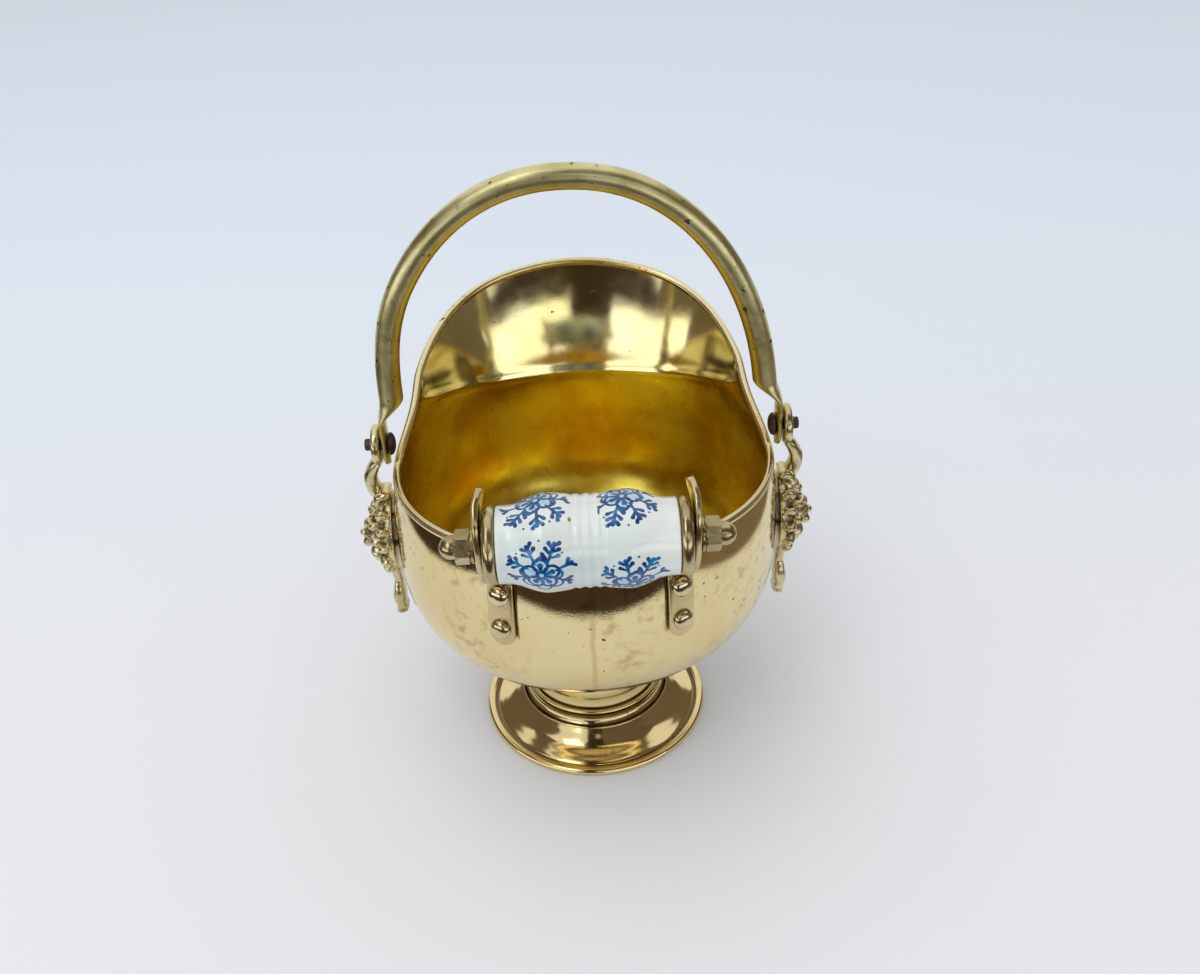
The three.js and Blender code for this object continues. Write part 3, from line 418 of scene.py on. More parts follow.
class Nodes:
    """A short way to write a material's nodes."""

    def __init__(self, name: str) -> None:
        """Starts a material with its shader and the object's own coordinates."""
        self.material = bpy.data.materials.new(name)
        self.material.use_nodes = True
        self.tree = self.material.node_tree
        self.shader = self.tree.nodes["Principled BSDF"]
        self.place = self.add("ShaderNodeTexCoord").outputs["Object"]

    def add(self, kind: str, **settings: object) -> bpy.types.Node:
        """A node with its settings."""
        node = self.tree.nodes.new(kind)
        for name, value in settings.items():
            setattr(node, name, value)
        return node

    def join(self, source: object, target: Socket) -> None:
        """Links an output to an input, or sets the input where the source is a plain value."""
        if isinstance(source, Socket):
            self.tree.links.new(source, target)
        else:
            target.default_value = source

    def noise(self, scale: float, detail: float, stretch: Triple = (1, 1, 1), seed: float = 0) -> Socket:
        """Fractal noise over the object, about 0.5 in the middle.

        Args:
            scale: how many features fit in a metre.
            detail: how many finer layers are added.
            stretch: the scale along each axis.
            seed: how far the noise is shifted, for patterns that differ.

        Returns:
            The noise's value.
        """
        mapping = self.add("ShaderNodeMapping")
        mapping.inputs["Scale"].default_value = stretch
        mapping.inputs["Location"].default_value = (seed, seed * 0.7, seed * 1.3)
        self.join(self.place, mapping.inputs["Vector"])
        noise = self.add("ShaderNodeTexNoise")
        noise.inputs["Scale"].default_value = scale
        noise.inputs["Detail"].default_value = detail
        self.join(mapping.outputs["Vector"], noise.inputs["Vector"])
        return noise.outputs["Fac"]

    def ramp(self, value: object, low: float, high: float, start: float = 0, end: float = 1) -> Socket:
        """A smooth step of a value: start below low, end above high."""
        node = self.add("ShaderNodeMapRange", interpolation_type="SMOOTHSTEP")
        self.join(value, node.inputs["Value"])
        node.inputs["From Min"].default_value = low
        node.inputs["From Max"].default_value = high
        node.inputs["To Min"].default_value = start
        node.inputs["To Max"].default_value = end
        return node.outputs["Result"]

    def maths(self, operation: str, *values: object) -> Socket:
        """One arithmetic step on values."""
        node = self.add("ShaderNodeMath", operation=operation)
        for value, socket in zip(values, node.inputs):
            self.join(value, socket)
        return node.outputs[0]

    def fall(self, value: object, low: float, high: float) -> Socket:
        """A smooth step down: 1 below low and 0 above high."""
        return self.ramp(value, low, high, 1, 0)

    def times(self, one: object, other: object) -> Socket:
        """The product of two values."""
        return self.maths("MULTIPLY", one, other)

    def plus(self, one: object, other: object) -> Socket:
        """The sum of two values."""
        return self.maths("ADD", one, other)

    def less(self, one: object, other: object) -> Socket:
        """The first value less the other."""
        return self.maths("SUBTRACT", one, other)

    def size(self, value: object) -> Socket:
        """A value without its sign."""
        return self.maths("ABSOLUTE", value)

    def hypot(self, one: object, other: object) -> Socket:
        """The length across two offsets: the root of the sum of their squares."""
        return self.maths("SQRT", self.plus(self.times(one, one), self.times(other, other)))

    def waver(
        self, reach: float, scale: float, detail: float, stretch: Triple = (1, 1, 1), seed: float = 0
    ) -> Socket:
        """Noise about 0: the fractal noise less 0.5, times the reach."""
        return self.times(self.less(self.noise(scale, detail, stretch, seed), 0.5), reach)

    def mix(self, share: object, low: object, high: object) -> Socket:
        """A colour between two, by a share."""
        node = self.add("ShaderNodeMix", data_type="RGBA")
        for name, value in (("Factor", share), ("A", low), ("B", high)):
            sockets = [s for s in node.inputs if s.name == name and s.enabled]
            if isinstance(value, tuple):
                value = (*value, 1.0)
            self.join(value, sockets[-1])
        return [s for s in node.outputs if s.enabled][0]

    def attribute(self, name: str) -> Socket:
        """A number stored on the mesh's points."""
        return self.add("ShaderNodeAttribute", attribute_name=name).outputs["Fac"]

    def axis(self, index: int) -> Socket:
        """One coordinate of the place, in metres."""
        node = self.add("ShaderNodeSeparateXYZ")
        self.join(self.place, node.inputs[0])
        return node.outputs[index]

    def give(self, name: str, value: object) -> None:
        """Links a value to one input of the shader, or sets it there where it is a constant."""
        self.join(value, self.shader.inputs[name])

    def bump(self, height: object, strength: float, distance: float, under: object = None) -> Socket:
        """A relief of that many millimetres, laid over another one where given."""
        node = self.add("ShaderNodeBump")
        node.inputs["Strength"].default_value = strength
        node.inputs["Distance"].default_value = distance * MM
        self.join(height, node.inputs["Height"])
        if under is not None:
            self.join(under, node.inputs["Normal"])
        return node.outputs["Normal"]


@dataclass(frozen=True)
class Finish:
    """What every finish has: the name of its material and a slot name, which nothing in the script reads."""

    name: str
    slot: str

    def material(self) -> bpy.types.Material:
        """The material, made once."""
        known = bpy.data.materials.get(self.name)
        return known if known else self.write(Nodes(self.name))

    def write(self, nodes: Nodes) -> bpy.types.Material:
        """Writes the nodes; each finish has its own."""
        raise NotImplementedError


@dataclass(frozen=True)
class Brass(Finish):
    """Brass with clouds of tarnish, dark specks and a fine stipple.

    Colours are linear, scales are in features a metre, and grain and hammer are in millimetres. Each noise
    has its own step from the seed, so that no two patterns line up.
    """

    colour: Triple = (0.87, 0.75, 0.44)
    cloud_colour: Triple = (0.78, 0.62, 0.29)
    cloud_scale: float = 26
    cloud_share: float = 0.7
    cloud_edge: Pair = (0.38, 0.66)
    speck_colour: Triple = (0.10, 0.07, 0.03)
    speck_scale: float = 420
    speck_from: float = 0.71
    speck_edge: float = 0.05
    speck_patches: Pair = (0.42, 0.62)
    speck_roughness: float = 0.3
    roughness: float = 0.22
    roughness_spread: float = 0.12
    grain_scale: float = 1500
    grain: float = 0.02
    hammer_scale: float = 60
    hammer: float = 0.15
    stretch: Triple = (1, 1, 1)
    seed: float = 0

    def write(self, nodes: Nodes) -> bpy.types.Material:
        """Clouds tint the metal, specks darken it and roughen it, and stipple and dents bend its light."""
        seed = self.seed
        cloud = nodes.ramp(nodes.noise(self.cloud_scale, 5, seed=seed), *self.cloud_edge)
        colour = nodes.mix(nodes.times(cloud, self.cloud_share), self.colour, self.cloud_colour)
        fleck = nodes.noise(self.speck_scale, 2, seed=seed + 7)
        fleck = nodes.ramp(fleck, self.speck_from, self.speck_from + self.speck_edge)
        patch = nodes.ramp(nodes.noise(self.cloud_scale * 2.2, 3, seed=seed + 11), *self.speck_patches)
        specks = nodes.times(fleck, patch)
        nodes.give("Base Color", self.marked(nodes, nodes.mix(specks, colour, self.speck_colour)))
        nodes.give("Metallic", 1.0)
        wear = nodes.waver(self.roughness_spread * 2, self.cloud_scale * 5, 6, self.stretch, seed + 3)
        rough = nodes.plus(nodes.plus(wear, self.roughness), nodes.times(specks, self.speck_roughness))
        nodes.give("Roughness", self.dulled(nodes, rough))
        dents = nodes.bump(nodes.noise(self.hammer_scale, 1, seed=seed + 17), 1, self.hammer)
        stipple = nodes.noise(self.grain_scale, 3, self.stretch, seed=seed + 19)
        nodes.give("Normal", self.relief(nodes, nodes.bump(stipple, 1, self.grain, dents)))
        return nodes.material

    def marked(self, nodes: Nodes, colour: Socket) -> Socket:
        """The colour with any marks of the finish's own; plain brass has none."""
        return colour

    def dulled(self, nodes: Nodes, rough: Socket) -> Socket:
        """The roughness with any dull places of the finish's own; plain brass has none."""
        return rough

    def relief(self, nodes: Nodes, normal: Socket) -> Socket:
        """The normal with any relief of the finish's own; plain brass has none."""
        return normal


@dataclass(frozen=True)
class SeamedBrass(Brass):
    """Brass sheet of the bowl: a brazed seam down its near side, wear and painted shade outside, and painted
    amber light inside.

    The mesh carries a number that is 1 on the inner skin and 0 on the outer one. Lengths are in metres, as
    are the places that a finish reads, except for the ridge's height, which is in millimetres.
    """

    # Colours of the inner skin: a deeper amber than the outside, painted in for the golden light that bounces
    # inside the bowl.
    amber: Triple = (0.95, 0.79, 0.13)
    amber_dark: Triple = (0.68, 0.43, 0.03)
    inner_roughness: Pair = (0.19, 0.36)
    seam_colour: Triple = (0.62, 0.42, 0.16)
    seam_share: float = 0.6
    seam_half_width: float = 0.0014
    seam_waver: float = 0.003
    seam_near: Pair = (-0.02, -0.01)
    seam_ridge: float = 0.12
    # Painted shade and dirt in the narrow gap along the straps' edges; the scratches share its dark colour.
    shade_and_scratch_colour: Triple = (0.06, 0.04, 0.016)
    strap_shade_share: float = 0.85
    strap_shade_band: Pair = (0.0002, 0.0011)
    strap_shade_waver: float = 0.0014
    strap_shade_near: Pair = (-0.03, -0.02)
    strap_angle: float = math.asin(31.5 / 76.5)
    strap_half_width: float = 0.0050
    strap_low: float = 0.0965
    strap_fade: float = 0.003
    scratch_place: Triple = (0.055, -0.0442, 0.090)
    scratch_edge: Pair = (0.0028, 0.0062)
    scratch_width: float = 0.035
    scratch_share: float = 0.7
    stain_colour: Triple = (0.42, 0.28, 0.12)
    stain_share: float = 0.6

    def strap_shade_and_dirt(self, nodes: Nodes) -> Socket:
        """1 along the edges of the two bracket straps, where painted shade and some dirt darken the bowl, and
        0 away from them.

        The distance across a strap is the place along the wall's tangent at the strap's plan angle.
        """
        across = nodes.less(nodes.axis(1), bowl_axis())
        turned = nodes.times(nodes.size(nodes.axis(0)), math.cos(self.strap_angle))
        along = nodes.plus(turned, nodes.times(across, math.sin(self.strap_angle)))
        reach = nodes.size(nodes.plus(along, nodes.waver(self.strap_shade_waver, 300, 3, seed=9)))
        line = nodes.fall(nodes.size(nodes.less(reach, self.strap_half_width)), *self.strap_shade_band)
        height = nodes.ramp(nodes.axis(2), self.strap_low, self.strap_low + self.strap_fade)
        return nodes.times(nodes.times(line, height), nodes.fall(across, *self.strap_shade_near))

    def scratches(self, nodes: Nodes) -> Socket:
        """1 on fine crossed scratches inside a small round patch on the near right of the bowl."""
        offset = nodes.add("ShaderNodeVectorMath", operation="DISTANCE")
        nodes.join(nodes.place, offset.inputs[0])
        offset.inputs[1].default_value = self.scratch_place
        patch = nodes.fall(offset.outputs["Value"], *self.scratch_edge)
        lines = nodes.size(nodes.less(nodes.noise(520, 1, seed=31), 0.5))
        return nodes.times(patch, nodes.fall(lines, 0.0, self.scratch_width))

    def seam(self, nodes: Nodes) -> Socket:
        """1 on the seam, at x = 0 on the near side, its edge broken up by noise, and 0 off it."""
        across = nodes.size(nodes.plus(nodes.axis(0), nodes.waver(self.seam_waver, 90, 3, seed=5)))
        line = nodes.fall(across, self.seam_half_width * 0.15, self.seam_half_width)
        return nodes.times(line, nodes.fall(nodes.axis(1), *self.seam_near))

    def stains(self, nodes: Nodes) -> Socket:
        """How much brown there is: spots, which show only inside larger patches."""
        spots = nodes.ramp(nodes.noise(230, 6, seed=41), 0.48, 0.68)
        return nodes.times(spots, nodes.ramp(nodes.noise(26, 3, seed=43), 0.42, 0.62, 0, self.stain_share))

    def marked(self, nodes: Nodes, colour: Socket) -> Socket:
        """The outer skin has the seam, painted shade and dirt by the straps, scratches and stains; the inner
        one is a clouded amber, painted in for the light that bounces inside the bowl.
        """
        for share, mark in (
            (nodes.times(self.seam(nodes), self.seam_share), self.seam_colour),
            # painted shade and dirt along the straps' edges
            (nodes.times(self.strap_shade_and_dirt(nodes), self.strap_shade_share), self.shade_and_scratch_colour),
            (nodes.times(self.scratches(nodes), self.scratch_share), self.shade_and_scratch_colour),
            (self.stains(nodes), self.stain_colour),
        ):
            colour = nodes.mix(share, colour, mark)
        # Painted reflection: the inner skin's clouded amber stands in for light bouncing about inside the
        # bowl.
        clouds = nodes.ramp(nodes.noise(38, 6, seed=21), 0.36, 0.68)
        return nodes.mix(nodes.attribute("inside"), colour, nodes.mix(clouds, self.amber, self.amber_dark))

    def dulled(self, nodes: Nodes, rough: Socket) -> Socket:
        """The inner skin is duller, unevenly so."""
        dull = nodes.ramp(nodes.noise(55, 5, seed=23), 0.35, 0.65, *self.inner_roughness)
        return nodes.mix(nodes.attribute("inside"), rough, dull)

    def relief(self, nodes: Nodes, normal: Socket) -> Socket:
        """A fine ridge down the middle of the seam."""
        ridge = nodes.fall(nodes.size(nodes.axis(0)), 0.0, self.seam_half_width * 0.5)
        near = nodes.fall(nodes.axis(1), *self.seam_near)
        return nodes.bump(nodes.times(ridge, near), 0.5, self.seam_ridge, normal)


@dataclass(frozen=True)
class SpunBrass(Brass):
    """Bright spun brass with painted shade in its grooves.

    grooves are (radius, height) in millimetres; shade_reach is how far the painted shade reaches from each.
    """

    grooves: tuple[Pair, ...] = ((44.0, 2.6), (31.0, 12.3), (28.6, 16.6), (27.7, 19.0))
    shade_reach: float = 0.75
    groove_shade: Triple = (0.035, 0.02, 0.008)

    def marked(self, nodes: Nodes, colour: Socket) -> Socket:
        """Painted shade where the distance from a groove, across radius and height, is less than its reach.
        """
        radius = nodes.hypot(nodes.axis(0), nodes.less(nodes.axis(1), bowl_axis()))
        for groove, height in self.grooves:
            away = nodes.hypot(nodes.less(radius, groove * MM), nodes.less(nodes.axis(2), height * MM))
            # Painted shade: each groove is darkened to stand in for the shadow that falls into it.
            share = nodes.fall(away, self.shade_reach * 0.5 * MM, self.shade_reach * 1.4 * MM)
            colour = nodes.mix(share, colour, self.groove_shade)
        return colour


@dataclass(frozen=True)
class CastBrass(Brass):
    """Cast brass with painted shade in its hollows.

    The mesh carries a number that is 0 on its high places and 1 in its hollows.
    """

    hollow_shade_colour: Triple = (0.10, 0.075, 0.03)
    hollow_shade_share: float = 0.9

    def marked(self, nodes: Nodes, colour: Socket) -> Socket:
        """The hollows are darkened with painted shade."""
        # Painted shade: darker the deeper a point lies in a hollow.
        share = nodes.times(nodes.attribute("hollow"), self.hollow_shade_share)
        return nodes.mix(share, colour, self.hollow_shade_colour)


@dataclass(frozen=True)
class DarkSteel(Finish):
    """Oxidised steel, brown and pitted; pits is the depth of its relief in millimetres."""

    grey: Triple = (0.035, 0.020, 0.018)
    brown: Triple = (0.12, 0.07, 0.055)
    metallic: float = 0.7
    roughness: Pair = (0.35, 0.6)
    pits: float = 0.06

    def write(self, nodes: Nodes) -> bpy.types.Material:
        """Brown scale over dark metal, with a rough pitted relief."""
        scale = nodes.ramp(nodes.noise(300, 4), 0.35, 0.65)
        nodes.give("Base Color", nodes.mix(scale, self.grey, self.brown))
        nodes.give("Metallic", self.metallic)
        nodes.give("Roughness", nodes.ramp(nodes.noise(500, 3), 0.3, 0.7, *self.roughness))
        nodes.give("Normal", nodes.bump(nodes.noise(900, 4), 0.7, self.pits))
        return nodes.material


@dataclass(frozen=True)
class PaintedPorcelain(Finish):
    """White glaze over brush strokes of cobalt blue, with one brown chip.

    The mesh carries three numbers: how far, in millimetres, a point lies inside a dark stroke, inside a
    pale wash and inside the chip. All are negative outside.
    """

    white: Triple = (0.58, 0.61, 0.58)
    shade: Triple = (0.46, 0.52, 0.50)
    stroke: Triple = (0.001, 0.035, 0.14)
    stroke_thin: Triple = (0.008, 0.13, 0.32)
    wash: Triple = (0.24, 0.44, 0.58)
    chip: Triple = (0.20, 0.14, 0.07)
    fray: float = 0.35
    roughness: float = 0.16
    coat: float = 0.35
    coat_roughness: float = 0.06
    waves: float = 0.12

    def write(self, nodes: Nodes) -> bpy.types.Material:
        """Strokes and washes are cut from the mesh's numbers, their edges frayed by a fine noise."""
        fray = nodes.waver(self.fray, 1400, 3)
        colour = nodes.mix(nodes.ramp(nodes.noise(30, 2), 0.35, 0.65), self.white, self.shade)
        inside = nodes.ramp(nodes.plus(nodes.attribute("wash"), fray), -0.15, 0.25)
        load = nodes.ramp(nodes.noise(700, 3), 0.25, 0.6, 0.35, 0.95)
        colour = nodes.mix(nodes.times(inside, load), colour, self.wash)
        inside = nodes.ramp(nodes.plus(nodes.attribute("stroke"), fray), -0.12, 0.1)
        load = nodes.ramp(nodes.noise(330, 3, seed=4), 0.42, 0.68)
        colour = nodes.mix(inside, colour, nodes.mix(load, self.stroke, self.stroke_thin))
        colour = nodes.mix(nodes.ramp(nodes.attribute("chip"), -0.2, 0.3), colour, self.chip)
        nodes.give("Base Color", colour)
        nodes.give("Roughness", self.roughness)
        nodes.give("Coat Weight", self.coat)
        nodes.give("Coat Roughness", self.coat_roughness)
        nodes.give("Normal", nodes.bump(nodes.noise(120, 2), 0.6, self.waves))
        return nodes.material


OUTSIDE = SeamedBrass(
    "satin brass sheet", "satin_brass", (0.83, 0.69, 0.37), (0.74, 0.58, 0.26), roughness=0.08,
    roughness_spread=0.07, grain=0.02, hammer=0.09, speck_scale=520, speck_from=0.68,
)
HOOD = Brass(
    "polished hood sheet", "satin_brass", (0.88, 0.77, 0.42), (0.76, 0.64, 0.24), cloud_scale=40,
    roughness=0.11, roughness_spread=0.06, grain=0.008, hammer=0.14,
)
ROLLED = Brass("rolled brass edge", "polished_brass", roughness=0.24, speck_from=0.64, cloud_share=1, seed=2)
FOOT = SpunBrass(
    "spun brass foot", "polished_brass", (0.82, 0.66, 0.33), roughness=0.1, roughness_spread=0.08,
    grain=0.006, hammer=0.05, stretch=(1, 1, 3), seed=4,
)
BAIL = Brass(
    "brushed brass tube", "bail_brass", (0.78, 0.72, 0.38), (0.54, 0.48, 0.19), cloud_scale=70,
    roughness=0.34, speck_scale=300, speck_from=0.63, grain=0.04, hammer_scale=140, seed=6,
)
CAST = CastBrass(
    "cast brass", "cast_brass", (0.76, 0.66, 0.39), (0.50, 0.41, 0.21), cloud_scale=110, roughness=0.24,
    grain=0.03, hammer_scale=260, hammer=0.12, seed=8,
)
AGED = Brass(
    "aged brass fittings", "aged_brass", (0.60, 0.51, 0.27), (0.36, 0.28, 0.13), cloud_scale=80,
    roughness=0.24, grain=0.03, hammer_scale=200, hammer=0.1, speck_from=0.66, seed=10,
)
TAB = Brass(
    "bracket strap", "aged_brass", (0.70, 0.57, 0.31), (0.52, 0.39, 0.18), roughness=0.24, grain=0.03, seed=12
)
RIVET = Brass(
    "rivet brass", "aged_brass", (0.74, 0.63, 0.38), (0.50, 0.38, 0.2), roughness=0.16, grain=0.01, seed=13
)
STEEL = DarkSteel("oxidised steel", "dark_steel")
PORCELAIN = PaintedPorcelain("blue and white porcelain", "glazed_porcelain")


# ------------------------------------------------------------------ bowl, hood and rim


@dataclass
class Body:
    """Bowl, hood and rolled rim of the scuttle; lengths in millimetres."""

    bench: Bench
    sheet: float = 1.2
    radius: float = 75.1
    bottom: float = 48.3
    depth: float = 49.4
    shoulder: float = 70
    roundness: float = 2.78
    rim_side_rise: float = 30.1
    rim_hood_rise: float = 72.8
    rim_grip_rise: float = 35.3
    rim_sweep: float = 1.1
    rim_bead: float = 1.65
    rim_set_in: float = 0.16
    hood_flare: float = 14.7
    hood_rim_radius: float = 71.8
    hood_full_angle: float = math.radians(22)
    hood_fade_angle: float = math.radians(75)
    crease_rise: float = 26.8
    crease_climb: float = 15.5
    crease_climb_angle: float = math.radians(70)
    blend_start: float = math.radians(60)
    blend_end: float = math.radians(88)
    least_flare: float = 12
    ridge_height: float = 0.4
    ridge_width: float = 2.4
    ridge_fade: Pair = (1.0, 1.35)
    columns: int = 288
    belly_rows: int = 46
    wall_rows: int = 40
    hood_columns: int = 181
    hood_rows: int = 46
    rim_steps: int = 480
    rim_sides: int = 28
    nick_depth: float = 0.16
    nick_angle: float = 3.6
    nick_width: float = 0.22

    @property
    def widest(self) -> float:
        """Height of the bowl's widest line."""
        return self.bottom + self.depth

    def bowl_radius(self, height: Array) -> Array:
        """Radius of the bowl: a superellipse below and above its widest line."""
        span = np.where(height < self.widest, self.depth, self.shoulder)
        share = np.clip(np.abs(height - self.widest) / span, 0, 1)
        return self.radius * (1 - share**self.roundness) ** (1 / self.roundness)

    def bowl_slope(self, height: Array) -> Array:
        """How much the bowl's radius grows over one millimetre of height."""
        return self.bowl_radius(height + 0.5) - self.bowl_radius(height - 0.5)

    def rim_height(self, phi: Array) -> Array:
        """Height of the rim: a power of the cosine climbs to the hood and a square to the grip."""
        c = np.cos(phi)
        to_hood = (self.rim_hood_rise - self.rim_side_rise) * np.maximum(c, 0) ** self.rim_sweep
        to_grip = (self.rim_grip_rise - self.rim_side_rise) * np.maximum(-c, 0) ** 2
        return self.widest + self.rim_side_rise + to_hood + to_grip

    def sheet_top(self, phi: Array) -> Array:
        """Height at which the sheet ends, inside the rim's bead."""
        return self.rim_height(phi) - self.rim_bead * 0.5

    def crease_height(self, phi: Array) -> Array:
        """Height of the crease where the hood starts: it climbs with 1 - cos phi."""
        climb = (1 - np.cos(phi)) / (1 - math.cos(self.crease_climb_angle))
        return self.widest + self.crease_rise + self.crease_climb * climb

    def flare_start(self, turn: Array) -> Array:
        """Height where the flare starts: the crease, or a little under the rim where the two come close.

        It lies below the rim by the fourth root of the sum of the fourth powers of the rim's height over
        the crease and of the least flare.
        """
        room = np.maximum(self.rim_height(turn) - self.crease_height(turn), 0)
        return self.rim_height(turn) - (room**4 + self.least_flare**4) ** 0.25

    def wall_radius(self, phi: Array, height: Array) -> Array:
        """Outside radius: the bowl below the flare's start, and above it a flare to the lip.

        The flare's radius grows by 0.75 u + 0.25 u^2 of the way to the lip, u being the share of the
        height from the start to the rim, and fades into the bowl at the sides.
        """
        turn = np.abs(wrapped(phi))
        bowl = self.bowl_radius(height)
        start = self.flare_start(turn)
        rise = np.clip((height - start) / (self.rim_height(turn) - start), 0, 1)
        fade = 1 - smoothstep(turn, self.hood_full_angle, self.hood_fade_angle)
        lip = self.hood_rim_radius + self.hood_flare * fade
        base = self.bowl_radius(start)
        hood = base + (lip - base) * (0.75 * rise + 0.25 * rise * rise)
        blend = smoothstep(turn, self.blend_start, self.blend_end)
        flared = hood + (bowl - hood) * blend
        return np.where((height <= start) | (turn >= self.blend_end), bowl, flared)

    def wall(self, phi: Array, height: Array, inward: Array | float = 0.0) -> Array:
        """Points of the wall, moved inwards along its normal.

        Args:
            phi: plan angles.
            height: heights, of the same shape.
            inward: how far inside the outer skin the points lie.

        Returns:
            The points; the normal is the cross product of the wall's steps in phi and in height.
        """

        def at(angle: Array, level: Array) -> Array:
            radius = self.wall_radius(angle, level)
            return np.stack([radius * np.sin(angle), radius * np.cos(angle), level], axis=-1)

        step, turn = 0.4, 0.006
        along = at(phi + turn, height) - at(phi - turn, height)
        up = at(phi, height + step) - at(phi, height - step)
        normal = unit(np.cross(along, up))
        return at(phi, height) + normal * np.asarray(inward)[..., None]

    def ridge(self, phi: Array, height: Array) -> Array:
        """How far the crease stands inwards: a bell curve of the height above it, fading at the sides."""
        turn = np.abs(wrapped(phi))
        bell = np.exp(-(((height - self.crease_height(turn)) / self.ridge_width) ** 2))
        return self.ridge_height * bell * (1 - smoothstep(turn, *self.ridge_fade))

    def bowl_top(self, phi: Array) -> Array:
        """Top edge of the bowl's sheet: the crease under the hood, and elsewhere inside the rim's bead."""
        turn = np.abs(wrapped(phi))
        return np.minimum(self.crease_height(turn), self.sheet_top(phi))

    def bowl(self) -> Surface:
        """The bowl's sheet: from the pole by a superellipse, up the wall, over the edge and back inside."""
        phi = (TURN * np.arange(self.columns) / self.columns)[None, :]
        angle = np.linspace(0.03, math.pi / 2, self.belly_rows)[:, None]
        belly = self.widest - self.depth * np.cos(angle) ** (2 / self.roundness)
        share = np.linspace(0, 1, self.wall_rows)[1:, None]
        upper = self.widest + (self.bowl_top(phi) - self.widest) * share
        height = np.vstack([np.broadcast_to(belly, (self.belly_rows, self.columns)), upper])
        angles = np.broadcast_to(phi, height.shape)
        outside = self.wall(angles, height)
        inside = self.wall(angles, height, self.sheet + self.ridge(angles, height))
        return lofted(np.concatenate([outside, inside[::-1]]))

    def hood_end(self) -> float:
        """The plan angle at which the crease runs into the rim."""
        phi = np.linspace(0.8, 1.5, 700)
        above = self.sheet_top(phi) - self.crease_height(phi)
        return float(phi[np.argmax(above < 0.4)])

    def hood(self) -> Surface:
        """The hood's sheet: columns from the crease up to the rim, outside up and inside down."""
        end = self.hood_end()
        phi = np.linspace(-end, end, self.hood_columns)[:, None]
        share = np.linspace(0, 1, self.hood_rows)[None, :]
        low = self.crease_height(np.abs(phi)) + 0.05
        height = low + (self.sheet_top(phi) - low) * share
        angles = np.broadcast_to(phi, height.shape)
        outside = self.wall(angles, height)
        inside = self.wall(angles, height, self.sheet + self.ridge(angles, height))
        return lofted(np.concatenate([outside, inside[:, ::-1]], axis=1))

    def rim(self) -> Surface:
        """The rolled bead: a round section carried along the rim, with a nick where the roll ends inside."""
        phi = TURN * np.arange(self.rim_steps) / self.rim_steps

        def line(angle: Array) -> Array:
            return self.wall(angle, self.rim_height(angle), self.sheet / 2 + self.rim_set_in)

        centre = line(phi)
        ahead = unit(line(phi + 0.01) - line(phi - 0.01))
        out = np.stack([np.sin(phi), np.cos(phi), np.zeros_like(phi)], axis=1)
        out = unit(out - ahead * np.sum(out * ahead, axis=1, keepdims=True))
        up = np.cross(ahead, out)
        up = up * np.sign(up[:, 2:])
        around = TURN * np.arange(self.rim_sides) / self.rim_sides
        nick = 1 - self.nick_depth * np.exp(-(((around - self.nick_angle) / self.nick_width) ** 2))
        ring = np.stack([np.cos(around), np.sin(around)], axis=1) * (self.rim_bead * nick)[:, None]
        rings = centre[:, None] + ring[None, :, :1] * out[:, None] + ring[None, :, 1:] * up[:, None]
        return lofted(rings, loop=True)

    def build(self) -> None:
        """Makes the bowl, the hood and the rim, and marks the bowl's inner skin.

        The inner rings are the second half of the bowl's points, before its two poles.
        """
        bowl = self.bench.piece("bowl", self.bowl(), OUTSIDE, "bowl_shell", 60)
        inside = np.zeros(len(bowl.data.vertices))
        inside[(len(inside) - 2) // 2 : -2] = 1
        inside[-1] = 1
        store(bowl.data, "inside", inside)
        self.bench.piece("hood", self.hood(), HOOD, "hood_shell", 60)
        self.bench.piece("rim", self.rim(), ROLLED, "rim_bead", 80)


# ------------------------------------------------------------------ foot


